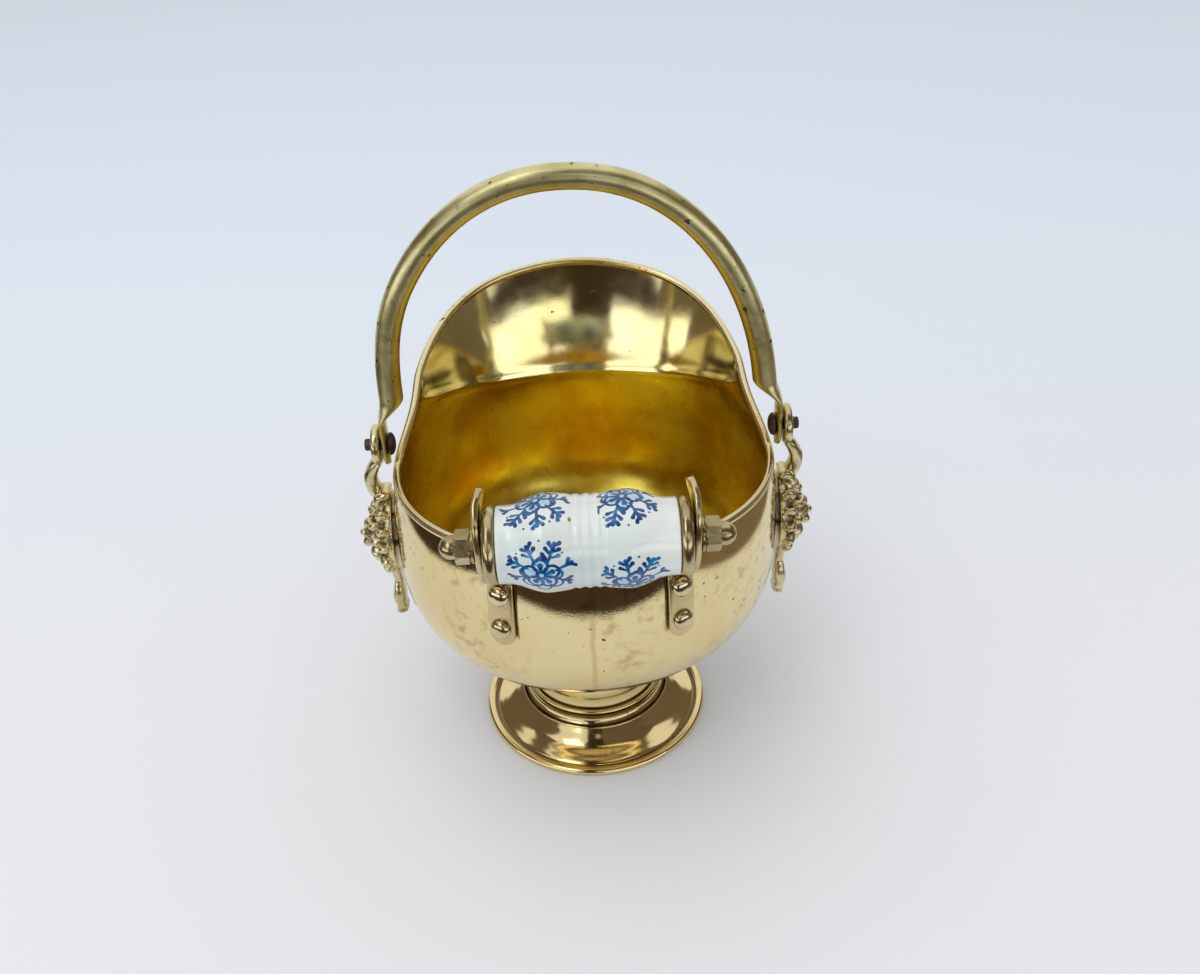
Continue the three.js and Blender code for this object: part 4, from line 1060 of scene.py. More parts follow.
@dataclass
class Foot:
    """Spun foot: rolled edge, flare, step and ringed neck; lengths in millimetres."""

    bench: Bench
    radius: float = 48
    bead: float = 1.8
    bead_flat: float = 0.4
    groove: float = 0.9
    sheet: float = 1.2
    flare_top: float = 31.0
    flare_rise: float = 11.1
    step_radius: float = 29.3
    step_top: float = 16.5
    ring_radius: float = 28.9
    collar_radius: float = 26.9
    waist_radius: float = 24
    neck_top_radius: float = 28
    neck_top: float = 47.9
    segments: int = 240

    def edge(self) -> Surface:
        """The rolled edge: a circle cut flat where it stands, turned round the foot."""
        middle = self.bead - self.bead_flat
        start = math.asin(middle / self.bead)
        angle = np.linspace(-start, math.pi + start, 26)
        profile = np.stack(
            [self.radius - self.bead + self.bead * np.cos(angle), middle + self.bead * np.sin(angle)], axis=1
        )
        return revolved(profile, self.segments, ring=True)

    def flare(self) -> Surface:
        """The flare: a concave sweep up to a sharp shoulder, then a short hollow step."""
        edge = self.radius - 2 * self.bead - self.groove
        top, rise, wall = self.flare_top, self.flare_rise, self.step_radius
        sweep = cubic_through(
            [
                (edge, self.bead - 0.5),
                (edge - 0.6, self.bead + 0.4),
                (edge - 3.4, self.bead + 2.0),
                (edge - 7.4, self.bead + 4.4),
                (top + 1.6, rise - 1.7),
                (top + 0.3, rise - 0.5),
            ],
            10,
        )
        ridge = [(top + 0.5, rise - 0.2), (top + 0.75, rise + 0.35), (top + 0.1, rise + 0.95)]
        step = cubic_through(
            [
                (top - 0.5, rise + 1.05),
                (wall + 0.1, rise + 2.2),
                (wall - 0.2, self.step_top - 1.8),
                (wall, self.step_top),
            ],
            8,
        )
        outline = np.vstack([sweep, cubic_through(ridge, 6), step])
        return revolved(sheet_profile(outline, self.sheet), self.segments, ring=True)

    def neck(self) -> Surface:
        """The neck: a bead, a hollow collar, a waist and a flange under the bowl."""
        bottom = self.step_top + 0.05
        r = self.ring_radius
        bead = [
            (r - 0.9, bottom),
            (r, bottom + 0.3),
            (r + 0.35, bottom + 0.95),
            (r - 0.1, bottom + 1.6),
            (r - 1.1, bottom + 1.9),
        ]
        collar = [
            (self.collar_radius + 0.3, bottom + 2.6),
            (self.collar_radius - 0.3, bottom + 5.5),
            (self.collar_radius - 0.5, bottom + 9.5),
            (self.waist_radius + 0.5, bottom + 15),
            (self.waist_radius, bottom + 20),
            (self.waist_radius + 0.7, bottom + 26),
            (self.neck_top_radius - 1.8, self.neck_top - 0.6),
            (self.neck_top_radius, self.neck_top),
        ]
        outline = np.vstack([cubic_through(bead, 6)[:-1], cubic_through([bead[-1], *collar], 8)])
        return revolved(sheet_profile(outline, self.sheet), self.segments, ring=True)

    def build(self) -> None:
        """Makes the rolled edge, the flare and the neck."""
        self.bench.piece("foot_edge", self.edge(), FOOT, "foot_bead", 60)
        self.bench.piece("foot_spinning", self.flare(), FOOT, "foot_flare", 40)
        self.bench.piece("neck", self.neck(), FOOT, "neck_collar", 40)


# ------------------------------------------------------------------ bail and pins


@dataclass
class Bail:
    """Tube bent to an arch with beaten ends, and its two pins; lengths in millimetres."""

    bench: Bench
    body: Body
    pivot: float = 137.6
    half_width: float = 73.1
    rise: float = 101.6
    roundness: float = 2.14
    set_over: float = 2.5
    pinch: float = 3
    bend_height: float = 65
    tube: float = 4.5
    paddle: float = 2.4
    paddle_half_width: float = 6.2
    below_pin: float = 8.5
    paddle_top: float = 10
    paddle_blend: float = 10
    rim_gap: float = 0.4
    running: float = 0.35
    pin: float = 2.3
    head: float = 4.4
    head_height: float = 2.4
    stub: float = 3
    eye_thickness: float = 3.2

    @property
    def inner(self) -> float:
        """Inner face of the beaten ends, clear of the rim's bead."""
        body = self.body
        side = float(body.wall_radius(np.array(math.pi / 2), np.array(body.widest + body.rim_side_rise)))
        return side - body.sheet / 2 + body.rim_bead + self.rim_gap

    @property
    def eye_inner(self) -> float:
        """Inner face of the mounts' eyes."""
        return self.inner + self.paddle + self.running

    def arch(self, angle: Array) -> Array:
        """The arch's centre line: a superellipse, drawn in above the pins and set over higher up."""
        c, s = np.cos(angle), np.sin(angle)
        height = self.rise * s ** (2 / self.roundness)
        bent = smoothstep(height, 0, self.bend_height)
        width = self.half_width - self.pinch * (1 - bent)
        x = width * np.sign(c) * np.abs(c) ** (2 / self.roundness) - self.set_over * bent
        return np.stack([x, np.zeros_like(x), height], axis=-1)

    def angle_at(self, height: Array) -> Array:
        """The arch's angle at a height over the pins."""
        return np.arcsin((height / self.rise) ** (self.roundness / 2))

    def leg(self, side: Side) -> tuple[Array, Array, Array]:
        """Centres and half-sizes of one leg's sections, from its beaten end up to the round tube."""
        low = -self.below_pin * np.sin(np.linspace(math.pi / 2 - 0.06, 0, 14))
        height = np.concatenate([low, np.linspace(0, self.paddle_top + self.paddle_blend, 34)[1:]])
        round_ = smoothstep(height, self.paddle_top, self.paddle_top + self.paddle_blend)
        below = np.clip(-height / self.below_pin, 0, 0.999)
        width = self.paddle_half_width * np.sqrt(1 - below**2)
        angle = self.angle_at(np.maximum(height, 0))
        along = angle if side is Side.RIGHT else math.pi - angle
        flat_x = side.value * (self.inner + self.paddle / 2)
        x = flat_x + (self.arch(along)[:, 0] - flat_x) * round_
        centre = np.stack([x, np.zeros_like(x), height], axis=1)
        half_x = self.paddle / 2 + (self.tube - self.paddle / 2) * round_
        return centre, half_x, width + (self.tube - width) * round_

    def tube_surface(self) -> Surface:
        """Both legs and the arch between them, as one round section that flattens at its ends."""
        start = float(self.angle_at(np.array(self.paddle_top + self.paddle_blend)))
        angle = np.linspace(start, math.pi - start, 170)[1:-1]
        arch = self.arch(angle)
        ahead = unit(self.arch(angle + 0.003) - self.arch(angle - 0.003))
        normal = np.stack([ahead[:, 2], np.zeros(len(ahead)), -ahead[:, 0]], axis=1) * self.tube
        right, right_x, right_y = self.leg(Side.RIGHT)
        left, left_x, left_y = self.leg(Side.LEFT)
        centres = np.vstack([right, arch, left[::-1]])
        wide = np.vstack([X_AXIS * right_x[:, None], normal, -X_AXIS * left_x[::-1, None]])
        half_y = np.concatenate([right_y, np.full(len(arch), self.tube), left_y[::-1]])
        thick = Y_AXIS * half_y[:, None]
        return swept(centres + [0, 0, self.pivot], wide, thick, round_section(32, 2.1))

    def pin_surface(self) -> Surface:
        """A pin along Z: domed head inside, shank and a square-cut stub outside."""
        face = self.inner - 0.3
        angle = np.linspace(0.04, math.pi / 2, 10)
        dome_level = face - 0.5 - (self.head_height - 0.5) * np.cos(angle)
        dome = np.stack([self.head * np.sin(angle), dome_level], axis=1)
        tip = self.eye_inner + self.eye_thickness + self.stub
        under = [(self.head, face - 0.1), (self.head - 0.2, face)]
        shank = [(self.pin, face), (self.pin, tip - 0.25), (self.pin - 0.25, tip), (0.3, tip)]
        return revolved(np.vstack([dome, under, shank]), 40)

    def build(self) -> None:
        """Makes the bail with its two drilled ends, and the pins."""
        tube = self.bench.mesh("bail_arch", self.tube_surface(), 50)
        for side in Side:
            self.bench.bored(tube, self.pin + self.running, [side.value * self.inner, 0, self.pivot], 16)
        tube.data.shade_smooth()
        tube.data.set_sharp_from_angle(angle=math.radians(50))
        self.bench.finish(tube, BAIL, Rides.BAIL, "bail_tube")
        for side in Side:
            pin = self.pin_surface().placed(X_AXIS * side.value, np.array([0, 0, self.pivot]))
            node = f"bail_pin_{side.label}"
            self.bench.piece(f"pin_{side.label}", pin, STEEL, node, 40)


# ------------------------------------------------------------------ lion mounts


@dataclass
class LionMount:
    """One cast mount: flat eye, curled hook, lion mask and leaf tail; lengths in millimetres."""

    bench: Bench
    body: Body
    bail: Bail
    eye: float = 7.8
    hook: float = 2.9
    hook_reach: float = 4.5
    standoff: float = 0.6
    half_width: float = 15.5
    half_height: float = 17.5
    middle: float = 97.5
    edge: float = 2.2
    dome: float = 8.0
    ground: float = 0.93
    tail_length: float = 22.5
    tail_thickness: float = 4.6
    mask_spokes: int = 120
    mask_rings: int = 36
    lock_rows: tuple[tuple[int, float, float], ...] = ((14, 0.82, 0.3), (11, 0.58, -0.25))
    voxel: float = 0.42
    hollow_depth: float = 0.35

    @property
    def back(self) -> float:
        """The flat back of the mask."""
        return self.body.radius + self.standoff

    def relief(self, v: Array, w: Array) -> Array:
        """Height of the mask over its back, v across and w up, both from -1 to 1.

        A full cone, whose height falls with the distance from its middle to the power 2, carries bells for
        muzzle, brow, eye sockets, cheeks and mouth.
        """

        def bell(dv: Array, dw: Array, sv: float, sw: float) -> Array:
            return np.exp(-((dv / sv) ** 2) - (dw / sw) ** 2)

        spread = np.minimum(np.hypot(v, w), 1)
        side = np.abs(v)
        cone = self.dome * (1 - spread**2) + 3.6 * bell(v, w + 0.12, 0.32, 0.3)
        brow = 1.6 * bell(side - 0.24, w - 0.38, 0.18, 0.1)
        socket = -1.8 * bell(side - 0.28, w - 0.2, 0.13, 0.09)
        cheek = 1.0 * bell(side - 0.42, w + 0.1, 0.16, 0.2)
        mouth = -2.2 * bell(v, w + 0.36, 0.24, 0.06)
        return self.edge + cone + brow + socket + cheek + mouth

    def mask(self) -> Surface:
        """The mask's ground, a little smaller than the mask: rings of spokes over a flat back."""
        angle = TURN * np.arange(self.mask_spokes) / self.mask_spokes
        share = np.linspace(0.01, 1, self.mask_rings)[:, None]
        v, w = share * np.sin(angle), share * np.cos(angle)
        across, up = v * self.half_width * self.ground, w * self.half_height * self.ground
        front = np.stack([self.back + self.relief(v, w), across, self.middle + up], axis=-1)
        rim = front[-1:].copy()
        rim[..., 0] = self.back
        return lofted(np.concatenate([front, rim]))

    def lump(self, v: float, w: float, proud: float, radii: Triple, turn: float = 0) -> Surface:
        """An egg-shaped lump of the casting.

        Args:
            v: place across the mask, from -1 to 1.
            w: place up the mask, from -1 to 1.
            proud: how far its middle stands over the relief.
            radii: its radii outwards, across and up.
            turn: how far it is turned in the mask's plane, from upwards to sideways.
        """
        angle = np.linspace(0.05, math.pi - 0.05, 12)
        ball = revolved(np.stack([np.sin(angle), -np.cos(angle)], axis=1), 20)
        egg = ball.points * radii
        c, s = math.cos(turn), math.sin(turn)
        turned = np.stack([egg[:, 0], egg[:, 1] * c + egg[:, 2] * s, egg[:, 2] * c - egg[:, 1] * s], axis=1)
        height = float(self.relief(np.array(v), np.array(w))) + proud
        middle = [self.back + height, v * self.half_width, self.middle + w * self.half_height]
        return Surface(turned + middle, ball.quads, ball.triangles)

    def lumps(self) -> list[Surface]:
        """Mane locks in two swirled rows round the face, and the lumps of the face.

        Each row of locks is a count, a share of the mask's size and how far the locks lean sideways. The
        face has a brow, an eye and a cheek each side, and a nose, a nose's tip and a chin in its middle.
        """
        found = []
        for row, (count, share, swirl) in enumerate(self.lock_rows):
            for lock in range(count):
                way = TURN * (lock + 0.5) / count
                v, w = share * math.sin(way), share * math.cos(way)
                radii = (3.0, 1.9, 4.0 - 0.6 * row)
                found.append(self.lump(v, w, -1.1 + 0.4 * row, radii, way + swirl))
        for side in (-1, 1):
            found.append(self.lump(side * 0.27, 0.42, 0.0, (1.9, 2.6, 1.5)))
            found.append(self.lump(side * 0.28, 0.2, 0.5, (1.3, 1.2, 1.0)))
            found.append(self.lump(side * 0.15, -0.22, -0.3, (2.2, 2.0, 2.0)))
        found.append(self.lump(0, 0.16, -0.2, (1.9, 1.5, 3.2)))
        found.append(self.lump(0, -0.04, 0.0, (1.6, 2.0, 1.5)))
        found.append(self.lump(0, -0.52, 0.6, (2.4, 2.4, 1.9)))
        return found

    def bar(self, stations: list[tuple[float, float, float, float]], squareness: float = 2.6) -> Surface:
        """A flat bar along stations of (x, z, half width, half thickness), smoothed between them."""
        line = cubic_through(stations, 10)
        centre = np.stack([line[:, 0], np.zeros(len(line)), line[:, 1]], axis=1)
        ahead = unit(np.gradient(centre, axis=0))
        normal = np.stack([ahead[:, 2], np.zeros(len(line)), -ahead[:, 0]], axis=1)
        return swept(centre, Y_AXIS * line[:, 2:3], normal * line[:, 3:4], round_section(24, squareness))

    def surface(self) -> Surface:
        """All the skins of the right-hand mount, before they are fused."""
        eye_middle = self.bail.eye_inner + self.bail.eye_thickness / 2
        half = self.bail.eye_thickness / 2
        top, low = self.middle + self.half_height, self.bail.pivot - self.eye
        drop, bend = low - top, eye_middle + self.hook_reach
        h = self.hook
        disc = revolved(chamfered(0.3, self.eye, -half, half, 0.7), 64)
        eye = disc.placed(X_AXIS, np.array([eye_middle, 0, self.bail.pivot]))
        hook = self.bar(
            [
                (eye_middle + 0.1, low + 3.4, h * 1.35, h * 0.5),
                (eye_middle + 0.5, low + 1.0, h * 1.35, h * 0.62),
                (eye_middle + 2.6, low - drop * 0.12, h * 1.3, h * 0.8),
                (bend, top + drop * 0.55, h * 1.2, h * 0.92),
                (bend - 0.8, top + drop * 0.2, h * 1.25, h * 0.95),
                (eye_middle + 1.4, top - 0.6, h * 1.5, h * 1.0),
                (self.back + 4.2, top - 4.5, h * 1.9, h * 1.0),
            ]
        )
        ledge = self.bar(
            [
                (self.back + 0.4, top + 0.6, 5.0, 1.5),
                (self.back + 2.4, top + 0.9, 5.4, 2.0),
                (self.back + 4.6, top - 0.4, 5.2, 2.4),
                (self.back + 5.8, top - 3.4, 4.6, 2.2),
            ]
        )
        bottom = self.middle - self.half_height
        t = self.tail_thickness / 2
        x = self.back + t + 0.6
        length = self.tail_length
        tail = self.bar(
            [
                (x + 0.2, bottom + 5, 6, t),
                (x, bottom + 0.5, 5.0, t),
                (x, bottom - length * 0.14, 3.6, t * 0.9),
                (x - 0.2, bottom - length * 0.32, 2.8, t * 0.8),
                (x, bottom - length * 0.5, 4.6, t * 1.0),
                (x + 0.3, bottom - length * 0.68, 5.2, t * 1.2),
                (x, bottom - length * 0.86, 4.4, t * 0.95),
                (x - 0.2, bottom - length, 5.0, t * 1.1),
            ],
            3.2,
        )
        return self.mask().with_(eye, hook, ledge, tail, *self.lumps())

    def build(self) -> None:
        """Makes both mounts: each is fused from its skins, then drilled for its pin."""
        right = self.surface()
        for side in Side:
            shape = right if side is Side.RIGHT else right.mirrored()
            mount = self.bench.mesh(f"lion_{side.label}", shape, 60)
            self.bench.fused(mount, self.voxel, 2)
            hole_x = side.value * (self.bail.eye_inner + self.bail.eye_thickness / 2)
            self.bench.bored(mount, self.bail.pin + 0.3, [hole_x, 0, self.bail.pivot], 9)
            mount.data.shade_smooth()
            # How hollow each point lies, for the painted shade of the cast finish.
            self.bench.mark_hollows(mount, self.hollow_depth)
            self.bench.finish(mount, CAST, Rides.SCUTTLE, f"lion_mount_{side.label}")
            self.rivets(side)

    def rivets(self, side: Side) -> None:
        """The flush tails of the mount's two rivets, inside the bowl."""
        for level, rise in (("upper", 7), ("lower", -7)):
            height = self.middle + rise
            radius = float(self.body.bowl_radius(np.array(height)))
            tail = [(0.2, -2.0), (1.8, -1.9), (2.7, -1.5), (2.9, -1.0), (1.4, -0.9)]
            place = np.array([side.value * radius, 0, height])
            rivet = revolved([*tail, (1.4, 3.5), (0.2, 3.5)], 32).placed(X_AXIS * side.value, place)
            node = f"lion_rivet_{side.label}_{level}"
            self.bench.piece(f"mount_rivet_{side.label}_{level}", rivet, RIVET, node)


# ------------------------------------------------------------------ painted flowers


@dataclass(frozen=True)
class Sprig:
    """One painted spray: where its flower sits and which way its leaves point.

    along is millimetres from the grip's middle, around is the angle of the flower in degrees from the
    near side upwards, turn is 1 where the leaves point up the barrel's side and -1 where they hang, and
    lean is how many degrees the whole spray is turned about its flower.
    """

    along: float
    around: float
    turn: int
    lean: float = 0.0


@dataclass(frozen=True)
class Brush:
    """The strokes of a sprig in its own plan, in millimetres: u across, v towards its leaves.

    A spray is its root's u and v, its heading in degrees, its length and its pairs of leaflets. A cloud is
    the u, v and radius of a dark ring with a pale wash in it, and a dot is the u and v of a dark spot. The
    empty petal has no dark stroke inside.
    """

    petals: int = 5
    empty_petal: int = 2
    petal_reach: float = 3.8
    petal_radius: float = 2.45
    eye_radius: float = 1.4
    line: float = 0.52
    leaflet: float = 2.5
    leaflet_pitch: float = 2.0
    sprays: tuple[tuple[float, float, float, float, int], ...] = (
        (-2.0, 5.4, 108, 5.8, 2),
        (3.0, 5.2, 66, 6.4, 3),
        (-5.4, 3.0, 150, 5.4, 2),
        (6.4, 2.0, 22, 4.4, 1),
        (-6.8, -2.0, 194, 3.2, 1),
        (6.6, -3.0, 334, 2.8, 1),
    )
    clouds: tuple[Triple, ...] = (
        (-5.0, 0.6, 2.0),
        (5.2, -0.2, 1.8),
        (-4.2, -4.2, 2.3),
        (0.3, -5.7, 2.4),
        (4.5, -4.2, 2.2),
        (0.8, 5.3, 1.7),
    )
    dots: tuple[Pair, ...] = ((0.6, 12.6), (-7.4, 8.6), (7.8, 7.6), (-10.6, -1.6), (9.8, -4.4))
    dot_radius: float = 0.42

    @staticmethod
    def ring(u: Array, v: Array, cu: float, cv: float, radius: float) -> Array:
        """Distance from a circle's line."""
        return np.abs(np.hypot(u - cu, v - cv) - radius)

    @staticmethod
    def stroke(u: Array, v: Array, start: Pair, end: Pair, thin: float, fat: float) -> Array:
        """Depth inside a stroke that swells from thin to fat: its half-width less the distance from it."""
        du, dv = end[0] - start[0], end[1] - start[1]
        share = np.clip(((u - start[0]) * du + (v - start[1]) * dv) / (du * du + dv * dv), 0, 1)
        off = np.hypot(u - start[0] - share * du, v - start[1] - share * dv)
        return thin + (fat - thin) * share - off

    def spray(self, u: Array, v: Array, spray: tuple[float, float, float, float, int]) -> Array:
        """Depth inside a fern-like spray: a stem that swells towards its end, with pairs of fat leaflets.

        Args:
            u: place across the sprig.
            v: place towards the sprig's leaves.
            spray: the root's two places, the heading in degrees, the length and the pairs of leaflets.
        """
        su, sv, heading, length, pairs = spray
        way = math.radians(heading)
        ahead = (math.cos(way), math.sin(way))
        tip = (su + length * ahead[0], sv + length * ahead[1])
        depth = self.stroke(u, v, (su * 0.8, sv * 0.8), tip, 0.34, 0.78)
        for leaf in range(2 * pairs):
            turn = 1 if leaf % 2 else -1
            reach = length - 1.2 - 0.5 * leaf * self.leaflet_pitch
            base = (su + reach * ahead[0], sv + reach * ahead[1])
            fan = way + turn * math.radians(40 + 4 * leaf)
            long_ = self.leaflet * (1 + 0.06 * leaf)
            end = (base[0] + long_ * math.cos(fan), base[1] + long_ * math.sin(fan))
            depth = np.maximum(depth, self.stroke(u, v, base, end, 0.24, 0.76))
        return depth

    def depths(self, u: Array, v: Array) -> tuple[Array, Array]:
        """How deep each point lies inside the dark strokes and inside the pale washes."""
        dark = self.line * 1.2 - self.ring(u, v, 0, 0, self.eye_radius)
        wash = self.eye_radius * 0.5 - np.hypot(u, v)
        for petal in range(self.petals):
            way = TURN * (petal + 0.25) / self.petals
            cu, cv = self.petal_reach * math.cos(way), self.petal_reach * math.sin(way)
            outline = self.line - self.ring(u, v, cu, cv, self.petal_radius)
            inside_eye = np.hypot(u, v) < self.eye_radius
            dark = np.maximum(dark, np.where(inside_eye, -1, outline))
            comma = self.stroke(u, v, (cu * 0.55, cv * 0.55), (cu * 1.02, cv * 1.02), 0.5, 1.0)
            if petal != self.empty_petal:
                dark = np.maximum(dark, comma)
            wash = np.maximum(wash, comma + 0.6)
        flower = np.hypot(u, v) < self.petal_reach + self.petal_radius * 0.55
        for cu, cv, radius in self.clouds:
            outline = np.where(flower, -1, self.line * 0.9 - self.ring(u, v, cu, cv, radius))
            dark = np.maximum(dark, outline)
            wash = np.maximum(wash, np.where(flower, -1, radius * 0.45 - np.hypot(u - cu, v - cv)))
        for spray in self.sprays:
            dark = np.maximum(dark, self.spray(u, v, spray))
        for du, dv in self.dots:
            dark = np.maximum(dark, self.dot_radius - np.hypot(u - du, v - dv))
        return dark, wash


# ------------------------------------------------------------------ the grip and its brackets


@dataclass
class Grip:
    """Porcelain barrel, rod, washers, nuts and brackets; lengths in millimetres."""

    bench: Bench
    body: Body
    y: float = -85.2
    height: float = 150.7
    length: float = 57.6
    end_radius: float = 12.55
    bulge_radius: float = 15.9
    waist_radius: float = 15.1
    bulge_offset: float = 13
    rib_width: float = 3.2
    rib_depth: float = 0.4
    gap: float = 0.3
    rod: float = 3
    ferrule_radius: float = 12.85
    ferrule_thickness: float = 4.2
    washer_radius: float = 5.6
    washer_thickness: float = 0.8
    across_flats: float = 10
    nut_height: float = 4.8
    dome_radius: float = 3.9
    dome_height: float = 5.2
    tab_offset: float = 31.5
    tab_width: float = 9.7
    tab_thickness: float = 2.2
    tab_end: float = 95.3
    tab_top: float = 122
    ear_width: float = 12
    ear_thickness: float = 2.4
    ear_rise: float = 18
    ear_lean_back: float = 5
    ear_lean_in: float = 3.5
    rivets: Pair = (103, 117)
    rivet_head: float = 3.8
    rivet_rise: float = 2.4
    barrel_rows: int = 214
    barrel_columns: int = 400
    sprig_size: float = 15
    sprig_shrink: float = 1.08
    bare_waist: Pair = (2.6, 3.6)
    chip_along: float = -5.4
    chip_around: float = math.radians(63)
    chip_radius: float = 0.9
    sprigs: tuple[Sprig, ...] = (
        Sprig(-14.8, -3, 1, 4),
        Sprig(-15.8, 95, -1, -16),
        Sprig(-14.8, 182, 1, 8),
        Sprig(-14.2, 272, -1, -6),
        Sprig(13.6, -27, 1, -6),
        Sprig(11.2, 93, -1, 10),
        Sprig(13.8, 160, 1, 4),
        Sprig(12.8, 246, -1, -12),
    )

    @property
    def centre(self) -> Array:
        """The middle of the grip."""
        return np.array([0, self.y, self.height])

    @property
    def ear_inner(self) -> float:
        """Inner face of the ears, outside the cup washers."""
        return self.length / 2 + self.gap + self.ferrule_thickness + self.gap

    @property
    def tab_angle(self) -> float:
        """Plan angle of the brackets' tabs on the wall, from the near side."""
        return math.asin(self.tab_offset / (self.body.radius + self.gap + self.tab_thickness / 2))

    def barrel_radius(self, x: Array) -> Array:
        """Radius along the barrel: a ribbed waist, a bulge each side and ends drawn in."""
        reach = np.abs(x) / self.bulge_offset
        base = self.waist_radius + (self.bulge_radius - self.waist_radius) * smoothstep(reach, 0.2, 1)
        ribs = self.rib_depth * np.sin(math.pi * x / self.rib_width) ** 2 * (1 - smoothstep(reach, 0.3, 0.55))
        fall = (np.abs(x) - self.bulge_offset) / (self.length / 2 - self.bulge_offset)
        ends = self.bulge_radius + (self.end_radius - self.bulge_radius) * smoothstep(fall, 0, 0.82)
        return np.where(reach <= 1, base - ribs, ends)

    def barrel(self) -> tuple[Surface, Array, Array]:
        """The barrel's skin along X, with each point's place along and angle around.

        A point at x and angle a from the near side upwards is (x, -r cos a, r sin a) from the middle. The
        rings run out along the barrel, round its end and back through the bore.
        """
        half = self.length / 2
        bore = self.rod + 0.4
        round_off = 0.7
        corner = np.linspace(0, math.pi / 2, 5)[1:]
        x = np.linspace(-half + round_off, half - round_off, self.barrel_rows)
        radius = self.barrel_radius(x)
        end_x = half - round_off + round_off * np.sin(corner)
        end_r = radius[-1] - round_off + round_off * np.cos(corner)
        line_x = np.concatenate([-end_x[::-1], x, end_x, [half, -half]])
        line_r = np.concatenate([end_r[::-1], radius, end_r, [bore, bore]])
        angle = TURN * np.arange(self.barrel_columns) / self.barrel_columns
        along, around = np.meshgrid(line_x, angle, indexing="ij")
        radius = line_r[:, None]
        rings = np.stack([along, -radius * np.cos(angle), radius * np.sin(angle)], axis=-1)
        return lofted(rings + self.centre, loop=True), along.ravel(), around.ravel()

    def paint(self, mesh: bpy.types.Mesh, along: Array, around: Array) -> None:
        """Stores how deep each point lies in a stroke, a wash and the chip, in millimetres.

        Strokes and washes keep clear of the ribbed waist, where both depths are held at bare.
        """
        bare = -5.0
        stroke, wash = np.full(len(along), bare), np.full(len(along), bare)
        brush = Brush()
        for sprig in self.sprigs:
            turn = wrapped(around - math.radians(sprig.around))
            across = (along - sprig.along) * sprig.turn
            up = turn * self.bulge_radius * sprig.turn
            lean = math.radians(sprig.lean)
            u = across * math.cos(lean) + up * math.sin(lean)
            v = up * math.cos(lean) - across * math.sin(lean)
            near = (np.abs(u) < self.sprig_size) & (np.abs(v) < self.sprig_size)
            dark, pale = brush.depths(u[near] * self.sprig_shrink, v[near] * self.sprig_shrink)
            stroke[near] = np.maximum(stroke[near], dark)
            wash[near] = np.maximum(wash[near], pale)
        waist = smoothstep(np.abs(along), *self.bare_waist) * (1 - bare) + bare
        chip_turn = (around - self.chip_around) * self.waist_radius
        chip = self.chip_radius - np.hypot((along - self.chip_along) * 1.6, chip_turn)
        store(mesh, "stroke", np.minimum(stroke, waist))
        store(mesh, "wash", np.minimum(wash, waist))
        store(mesh, "chip", chip)

    def ferrule(self) -> Surface:
        """A cup washer along Z, its mouth at 0: a full round rim drawn in to a flat back."""
        t, r = self.ferrule_thickness, self.ferrule_radius
        line = cubic_through(
            [
                (r - 2.2, 0.15),
                (r - 1.0, 0.0),
                (r - 0.25, t * 0.18),
                (r, t * 0.42),
                (r - 0.25, t * 0.68),
                (r - 1.3, t * 0.9),
                (r - 3.6, t * 0.98),
            ],
            6,
        )
        inside = [(self.rod + 0.3, 0.6), (r - 3.0, 0.6)]
        return revolved(np.vstack([inside, line, [(self.rod + 0.3, t)]]), 120, ring=True)

    def nut(self) -> Surface:
        """An acorn nut along Z: chamfered hexagon, groove and dome.

        The hexagon's radius at angle a is the half-width over cos of a's distance from its flat, held
        inside a cone at both ends for the chamfers.
        """
        flat, tall, dome_radius = self.across_flats / 2, self.nut_height, self.dome_radius
        sides = 144
        angle = TURN * np.arange(sides) / sides
        to_flat = (angle + TURN / 12) % (TURN / 6) - TURN / 12
        hexagon = flat / np.cos(to_flat)
        height = np.concatenate(
            [np.linspace(0, 0.9, 5), np.linspace(1.1, tall - 1.1, 4), np.linspace(tall - 0.9, tall, 5)]
        )
        cone = flat + 0.15 + 1.7 * np.minimum(height, tall - height)
        neck = [(dome_radius + 0.35, tall + 0.02), (dome_radius - 0.1, tall + 0.15)]
        spring = tall + self.dome_height - dome_radius
        turn = np.linspace(0, math.pi / 2 - 0.05, 14)
        dome = np.stack([dome_radius * np.cos(turn), spring + dome_radius * np.sin(turn)], axis=1)
        round_radii, round_heights = np.vstack([neck, dome]).T
        radii = np.vstack(
            [
                np.full((1, sides), 1.0),
                np.minimum(hexagon, cone[:, None]),
                np.broadcast_to(round_radii[:, None], (len(round_radii), sides)),
            ]
        )
        heights = np.concatenate([[0.0], height, round_heights])
        level = np.broadcast_to(heights[:, None], radii.shape)
        return lofted(np.stack([radii * np.cos(angle), radii * np.sin(angle), level], axis=-1))

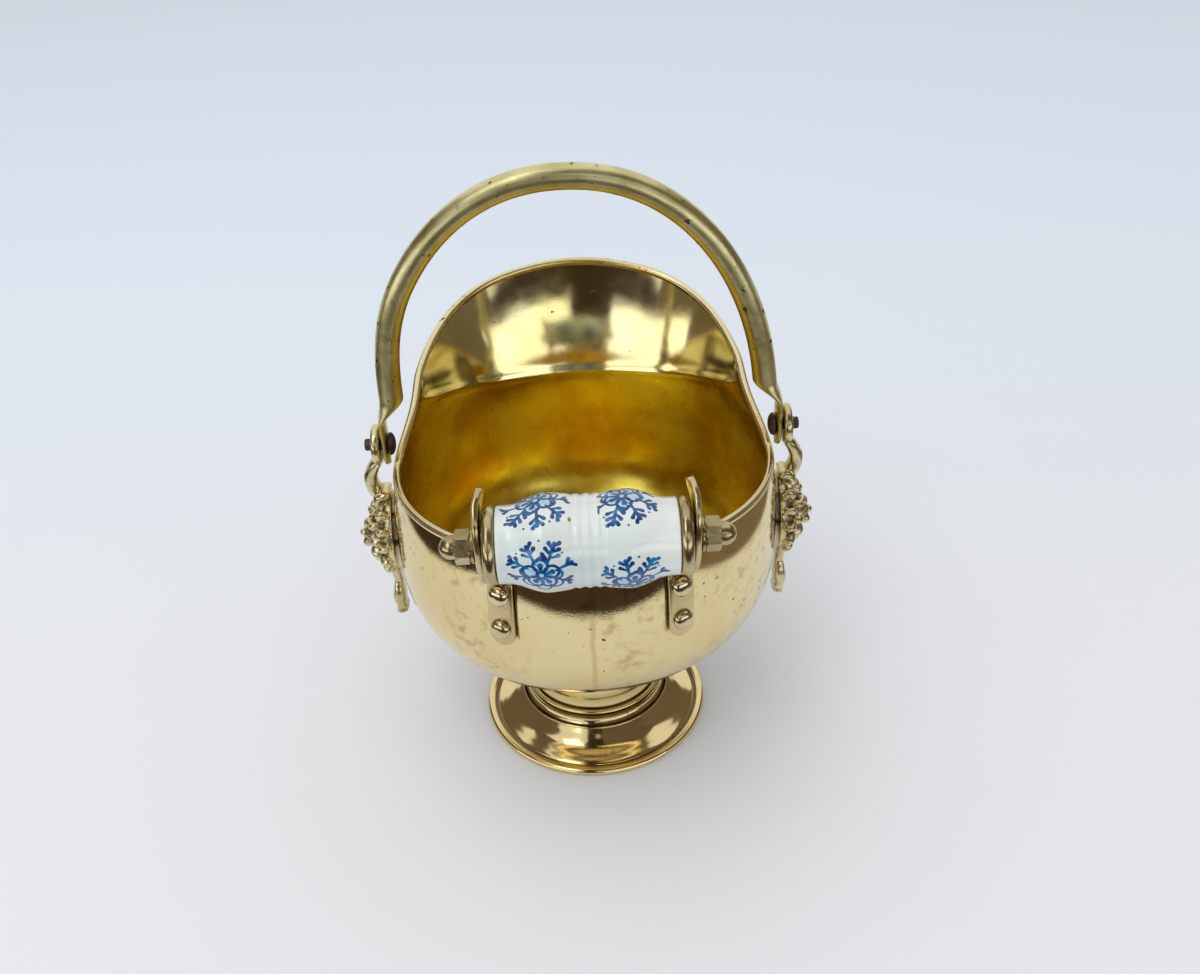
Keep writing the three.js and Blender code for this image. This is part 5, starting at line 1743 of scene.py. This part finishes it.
    def strap(self, side: Side) -> Surface:
        """A bracket: flat on the bowl, then twisted a quarter turn into an upright ear.

        Its centre line runs up the wall and over to the rod; its flat side turns from the wall's tangent
        to the plane of the ear, and both ends are rounded.
        """
        s = side.value
        plan = np.array([s * math.sin(self.tab_angle), -math.cos(self.tab_angle)])
        half_tab = self.tab_width / 2
        rounded = self.tab_end + half_tab * (1 - np.cos(np.linspace(0.12, math.pi / 2, 10)))
        tab_z = np.concatenate([rounded, np.linspace(self.tab_end + half_tab, self.tab_top, 12)[1:]])
        radius, slope = self.body.bowl_radius(tab_z), self.body.bowl_slope(tab_z)
        outward = unit(np.stack([np.full_like(slope, plan[0]), np.full_like(slope, plan[1]), -slope], axis=1))
        foot = np.stack([plan[0] * radius, plan[1] * radius, tab_z], axis=1)
        tab = foot + outward * (0.1 + self.tab_thickness / 2)
        across_tab = np.array([-plan[1], plan[0], 0]) * s
        ear_x = s * (self.ear_inner + self.ear_thickness / 2)
        end_z = self.height + self.ear_rise - self.ear_width / 2
        line = cubic_through(
            [
                tab[-1],
                [ear_x, self.y + 3.4, self.height - self.ear_width * 0.75],
                [ear_x, self.y, self.height],
                [ear_x, self.y + 0.6, self.height + self.ear_width * 0.6],
                [ear_x, self.y + self.ear_lean_back, end_z],
            ],
            14,
        )[1:]
        share = np.linspace(0, 1, len(line) + 1)[1:]
        line[:, 0] = tab[-1, 0] + (ear_x - tab[-1, 0]) * smoothstep(share, 0, 0.18)
        over = line[:, 2] - self.height - self.ferrule_radius
        line[:, 0] -= s * self.ear_lean_in * smoothstep(over, -2, self.ear_rise - self.ferrule_radius)
        onward = unit(line[-1] - line[-2])
        cap = np.linspace(0.1, 0.985, 10)
        tip = line[-1] + onward * (cap[:, None] * self.ear_width / 2)
        centres = np.vstack([tab, line, tip])
        ahead = unit(np.gradient(centres, axis=0))
        flat = unit(np.stack([np.zeros(len(centres)), ahead[:, 2], -ahead[:, 1]], axis=1))
        twist = np.concatenate([np.zeros(len(tab)), smoothstep(share, 0, 0.22), np.ones(len(tip))])[:, None]
        across = unit(across_tab * (1 - twist) + flat * twist)
        across = unit(across - ahead * np.sum(across * ahead, axis=1, keepdims=True))
        normal = np.cross(across, ahead)
        tab_share = np.clip((tab_z - self.tab_end) / half_tab, 0, 1)
        width = np.concatenate(
            [
                self.tab_width * np.sqrt(1 - (1 - tab_share) ** 2),
                self.tab_width + (self.ear_width - self.tab_width) * smoothstep(share, 0.05, 0.45),
                self.ear_width * np.sqrt(1 - cap**2),
            ]
        )
        thickness = self.tab_thickness + (self.ear_thickness - self.tab_thickness) * twist
        return swept(centres, across * width[:, None] / 2, normal * thickness / 2, round_section(36, 5))

    def rivet(self) -> Surface:
        """A domed rivet along Z, 0 at the wall's outside, with a low tail inside."""
        head = self.gap + self.tab_thickness
        angle = np.linspace(0, math.pi / 2 - 0.04, 12)
        dome_height = head + 0.35 + (self.rivet_rise - 0.2) * np.sin(angle)
        dome = np.stack([self.rivet_head * np.cos(angle) ** 0.9, dome_height], axis=1)
        tail = [(0.2, -2.3), (1.8, -2.1), (2.7, -1.7), (3.0, -1.1), (1.5, -1.0)]
        shank = [(1.5, head - 0.1), (self.rivet_head - 0.15, head - 0.05)]
        return revolved(np.vstack([tail, shank, dome]), 48)

    def build(self) -> None:
        """Makes the barrel, the rod and, each side, cup washer, washer, nut, bracket and rivets."""
        surface, along, around = self.barrel()
        barrel = self.bench.mesh("porcelain_barrel", surface, 50)
        self.paint(barrel.data, along, around)
        self.bench.finish(barrel, PORCELAIN, Rides.GRIP, "porcelain_grip")
        half = self.ear_inner + self.ear_thickness + 6
        rod = revolved(chamfered(0.2, self.rod, -half, half, 0.3), 32)
        self.bench.piece("rod", rod.placed(X_AXIS, self.centre), RIVET, "tie_rod")
        for side in Side:
            self.build_side(side)

    def build_side(self, side: Side) -> None:
        """Makes what holds one end of the rod."""
        out = X_AXIS * side.value
        label = side.label
        ferrule = self.ferrule().placed(out, self.centre + out * (self.length / 2 + self.gap))
        self.bench.piece(f"cup_washer_{label}", ferrule, AGED, f"ferrule_{label}", 50)
        outer = self.ear_inner + self.ear_thickness
        ring = chamfered(self.rod + 0.2, self.washer_radius, 0, self.washer_thickness, 0.15)
        washer = revolved(ring, 64, ring=True).placed(out, self.centre + out * (outer + 0.15))
        self.bench.piece(f"flat_washer_{label}", washer, AGED, f"washer_{label}")
        nut = self.nut().placed(out, self.centre + out * (outer + 2 * self.gap + self.washer_thickness))
        self.bench.piece(f"domed_nut_{label}", nut, AGED, f"acorn_nut_{label}", 28)
        self.bench.piece(f"strap_{label}", self.strap(side), TAB, f"bracket_{label}", 50)
        plan = np.array([side.value * math.sin(self.tab_angle), -math.cos(self.tab_angle), 0])
        for height, level in zip(self.rivets, ("lower", "upper")):
            radius = float(self.body.bowl_radius(np.array(height)))
            normal = unit(plan - Z_AXIS * float(self.body.bowl_slope(np.array(height))))
            rivet = self.rivet().placed(normal, plan * radius + [0, 0, height])
            node = f"bracket_rivet_{label}_{level}"
            self.bench.piece(f"strap_rivet_{label}_{level}", rivet, RIVET, node, 50)


# ------------------------------------------------------------------ camera, floor and light


@dataclass
class Setting:
    """The photograph's viewpoint, a pale floor and soft light.

    The camera's lengths are in millimetres, and in pixels of the photograph where the name says so. The
    floor, the cards and the lamps are in metres, and the lamps' power is in watts. A card overhead is its
    name, its stretches of X and Y, its height, and whether it is brown instead of dark.
    """

    bench: Bench
    image_width: int = 1200
    focal_pixels: float = 1200
    sensor_width: float = 36
    aim_height: float = 64
    distance: float = 500.609
    shift_right: float = -5.931
    shift_up: float = -39.941
    pitch: float = math.radians(34.48)
    heading: float = math.radians(0.894)
    roll: float = math.radians(2.523)
    floor_near: Triple = (0.66, 0.67, 0.69)
    floor_far: Triple = (0.63, 0.69, 0.76)
    dark_card: Triple = (0.04, 0.025, 0.015)
    brown_card: Triple = (0.17, 0.13, 0.09)
    card_roughness: float = 0.9
    card_shine: float = 0.1
    paper_front: float = -0.222
    paper_back: float = 0.25
    paper_left: float = -0.30
    paper_right: float = 0.25
    far: float = 3.0
    card_lift: float = 0.001
    overhead: tuple[tuple[str, Pair, Pair, float, bool], ...] = (
        ("card_head", (-0.22, 0.1), (-0.9, -0.22), 0.9, False),
        ("card_above_right", (0.1, 2.6), (-2.2, -0.2), 1.9, True),
        ("card_above_left", (-2.6, -1.15), (-0.5, 0.2), 1.9, True),
    )
    wall_distance: float = 2.4
    wall_top: float = 1.2
    side_top: float = 2.3
    person: Pair = (-0.21, -0.04)
    person_distance: float = 0.75
    person_top: float = 0.9
    lit_height: float = 0.12
    window: Pair = (1.7, 0.42)
    window_sill: float = 0.03
    window_distance: float = 1.5
    window_right: float = math.radians(33)
    window_left: float = math.radians(-49)
    window_power: float = 3.6
    window_colour: Triple = (0.96, 0.98, 1)
    ceiling_place: Triple = (-0.35, -0.3, 1.9)
    ceiling: Pair = (1.5, 1.5)
    ceiling_power: float = 11
    skylight_place: Triple = (-0.62, -0.75, 1.85)
    skylight: Pair = (0.6, 1.2)
    skylight_power: float = 4.0
    skylight_colour: Triple = (1, 1, 0.98)
    room_colour: Triple = (0.86, 0.86, 0.87)

    def camera(self) -> None:
        """Puts the camera where the photograph was taken from, looking down at the near side."""
        turn = Matrix.Rotation(-self.heading, 3, "Z")
        right = turn @ Vector((1, 0, 0))
        up = turn @ Vector((0, math.sin(self.pitch), math.cos(self.pitch)))
        ahead = turn @ Vector((0, math.cos(self.pitch), -math.sin(self.pitch)))
        aim = Vector((0, 0, self.aim_height))
        place = aim - right * self.shift_right - up * self.shift_up - ahead * self.distance
        c, s = math.cos(self.roll), math.sin(self.roll)
        seen_right, seen_up = right * c - up * s, right * s + up * c
        basis = Matrix((seen_right, seen_up, -ahead)).transposed().to_4x4()
        data = bpy.data.cameras.new("viewpoint")
        data.sensor_width = self.sensor_width
        data.lens = self.sensor_width * self.focal_pixels / self.image_width
        data.clip_start = 0.01
        camera = bpy.data.objects.new("viewpoint", data)
        camera.matrix_world = Matrix.Translation(place * MM + Vector((0, self.bench.axis_y, 0))) @ basis
        bpy.context.scene.collection.objects.link(camera)
        bpy.context.scene.camera = camera

    def card(
        self, name: str, corners: list[Triple], material: bpy.types.Material, seen: bool = False
    ) -> None:
        """A flat card of the set; one that isn't seen shows only in the metal's reflections."""
        mesh = bpy.data.meshes.new(name)
        mesh.from_pydata(corners, [], [(0, 1, 2, 3)])
        mesh.materials.append(material)
        card = bpy.data.objects.new(name, mesh)
        if not seen:
            card.visible_camera = False
            card.visible_diffuse = False
            card.visible_shadow = False
        bpy.context.scene.collection.objects.link(card)

    @staticmethod
    def level(across: Pair, along: Pair, height: float) -> list[Triple]:
        """The corners of a level card over a stretch of X and one of Y."""
        (x0, x1), (y0, y1) = across, along
        return [(x0, y0, height), (x1, y0, height), (x1, y1, height), (x0, y1, height)]

    @staticmethod
    def upright(start: Pair, end: Pair, top: float) -> list[Triple]:
        """The corners of an upright card that stands on the floor from one point to another."""
        return [(*start, 0), (*end, 0), (*end, top), (*start, top)]

    def plain(self, name: str, near: Triple, far: Triple) -> bpy.types.Material:
        """A dull card colour that shades from near to far along Y."""
        nodes = Nodes(name)
        nodes.give("Base Color", nodes.mix(nodes.ramp(nodes.axis(1), -0.1, 0.6), near, far))
        nodes.give("Roughness", self.card_roughness)
        nodes.give("Specular IOR Level", self.card_shine)
        return nodes.material

    def cards(self) -> None:
        """A plain pale floor, and the dull cards that the polished brass needs for its contrast.

        The cards show only in reflections: they lie on the floor outside the swept paper, stand far off
        behind the windows and at both sides, stand where the photographer does, and hang overhead.
        """
        far, wall = self.far, self.wall_distance
        pale = self.plain("pale floor", self.floor_near, self.floor_far)
        self.card("floor", self.level((-far, far), (-far, far), 0), pale, seen=True)
        dark = self.plain("dark card", self.dark_card, self.dark_card)
        brown = self.plain("brown card", self.brown_card, self.brown_card)
        beside = (self.paper_front, self.paper_back)
        for name, across, along, tone in (
            ("card_front", (-far, far), (-far, self.paper_front), dark),
            ("card_left", (-far, self.paper_left), beside, dark),
            ("card_right", (self.paper_right, far), beside, brown),
        ):
            self.card(name, self.level(across, along, self.card_lift), tone)
        self.card("wall_front", self.upright((-wall, -wall), (wall, -wall), self.wall_top), dark)
        for side in Side:
            x = side.value * wall
            self.card(f"wall_{side.label}", self.upright((x, -wall), (x, wall), self.side_top), brown)
        start, end = ((x, -self.person_distance) for x in self.person)
        self.card("card_person", self.upright(start, end, self.person_top), dark)
        for name, across, along, height, is_brown in self.overhead:
            self.card(name, self.level(across, along, height), brown if is_brown else dark)

    def lamp(
        self,
        name: str,
        place: Triple,
        size: Pair,
        power: float,
        colour: Triple = (1, 1, 1),
        seen_in_gloss: bool = True,
    ) -> None:
        """A soft panel light that faces the scuttle."""
        data = bpy.data.lights.new(name, "AREA")
        data.shape = "RECTANGLE"
        data.size, data.size_y = size
        data.energy = power
        data.color = colour
        lamp = bpy.data.objects.new(name, data)
        lamp.location = place
        to_scuttle = Vector((0, 0, self.lit_height)) - Vector(place)
        lamp.rotation_euler = to_scuttle.to_track_quat("-Z", "Y").to_euler()
        lamp.visible_glossy = seen_in_gloss
        bpy.context.scene.collection.objects.link(lamp)

    def light(self) -> None:
        """A low window each side of the camera, a soft panel and a skylight overhead, and a pale room."""
        away, level = self.window_distance, self.window[1] / 2 + self.window_sill
        for side, turn in ((Side.RIGHT, self.window_right), (Side.LEFT, self.window_left)):
            place = (away * math.sin(turn), -away * math.cos(turn), level)
            self.lamp(f"window_{side.label}", place, self.window, self.window_power, self.window_colour)
        self.lamp("ceiling", self.ceiling_place, self.ceiling, self.ceiling_power, seen_in_gloss=False)
        self.lamp("skylight", self.skylight_place, self.skylight, self.skylight_power, self.skylight_colour)
        world = bpy.data.worlds.new("room")
        world.use_nodes = True
        background = world.node_tree.nodes["Background"]
        background.inputs["Color"].default_value = (*self.room_colour, 1)
        background.inputs["Strength"].default_value = 1
        bpy.context.scene.world = world

    def build(self) -> None:
        """Sets the camera, the floor with its cards, and the light."""
        bpy.context.scene.view_settings.view_transform = "Standard"
        self.camera()
        self.cards()
        self.light()


def main() -> None:
    """Builds the scuttle's looks."""
    logging.basicConfig(level=logging.INFO, format="%(message)s")
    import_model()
    bench = Bench()
    body = Body(bench)
    bail = Bail(bench, body)
    Setting(bench).build()
    body.build()
    Foot(bench).build()
    bail.build()
    LionMount(bench, body, bail).build()
    Grip(bench, body).build()


if __name__ == "__main__":
    main()
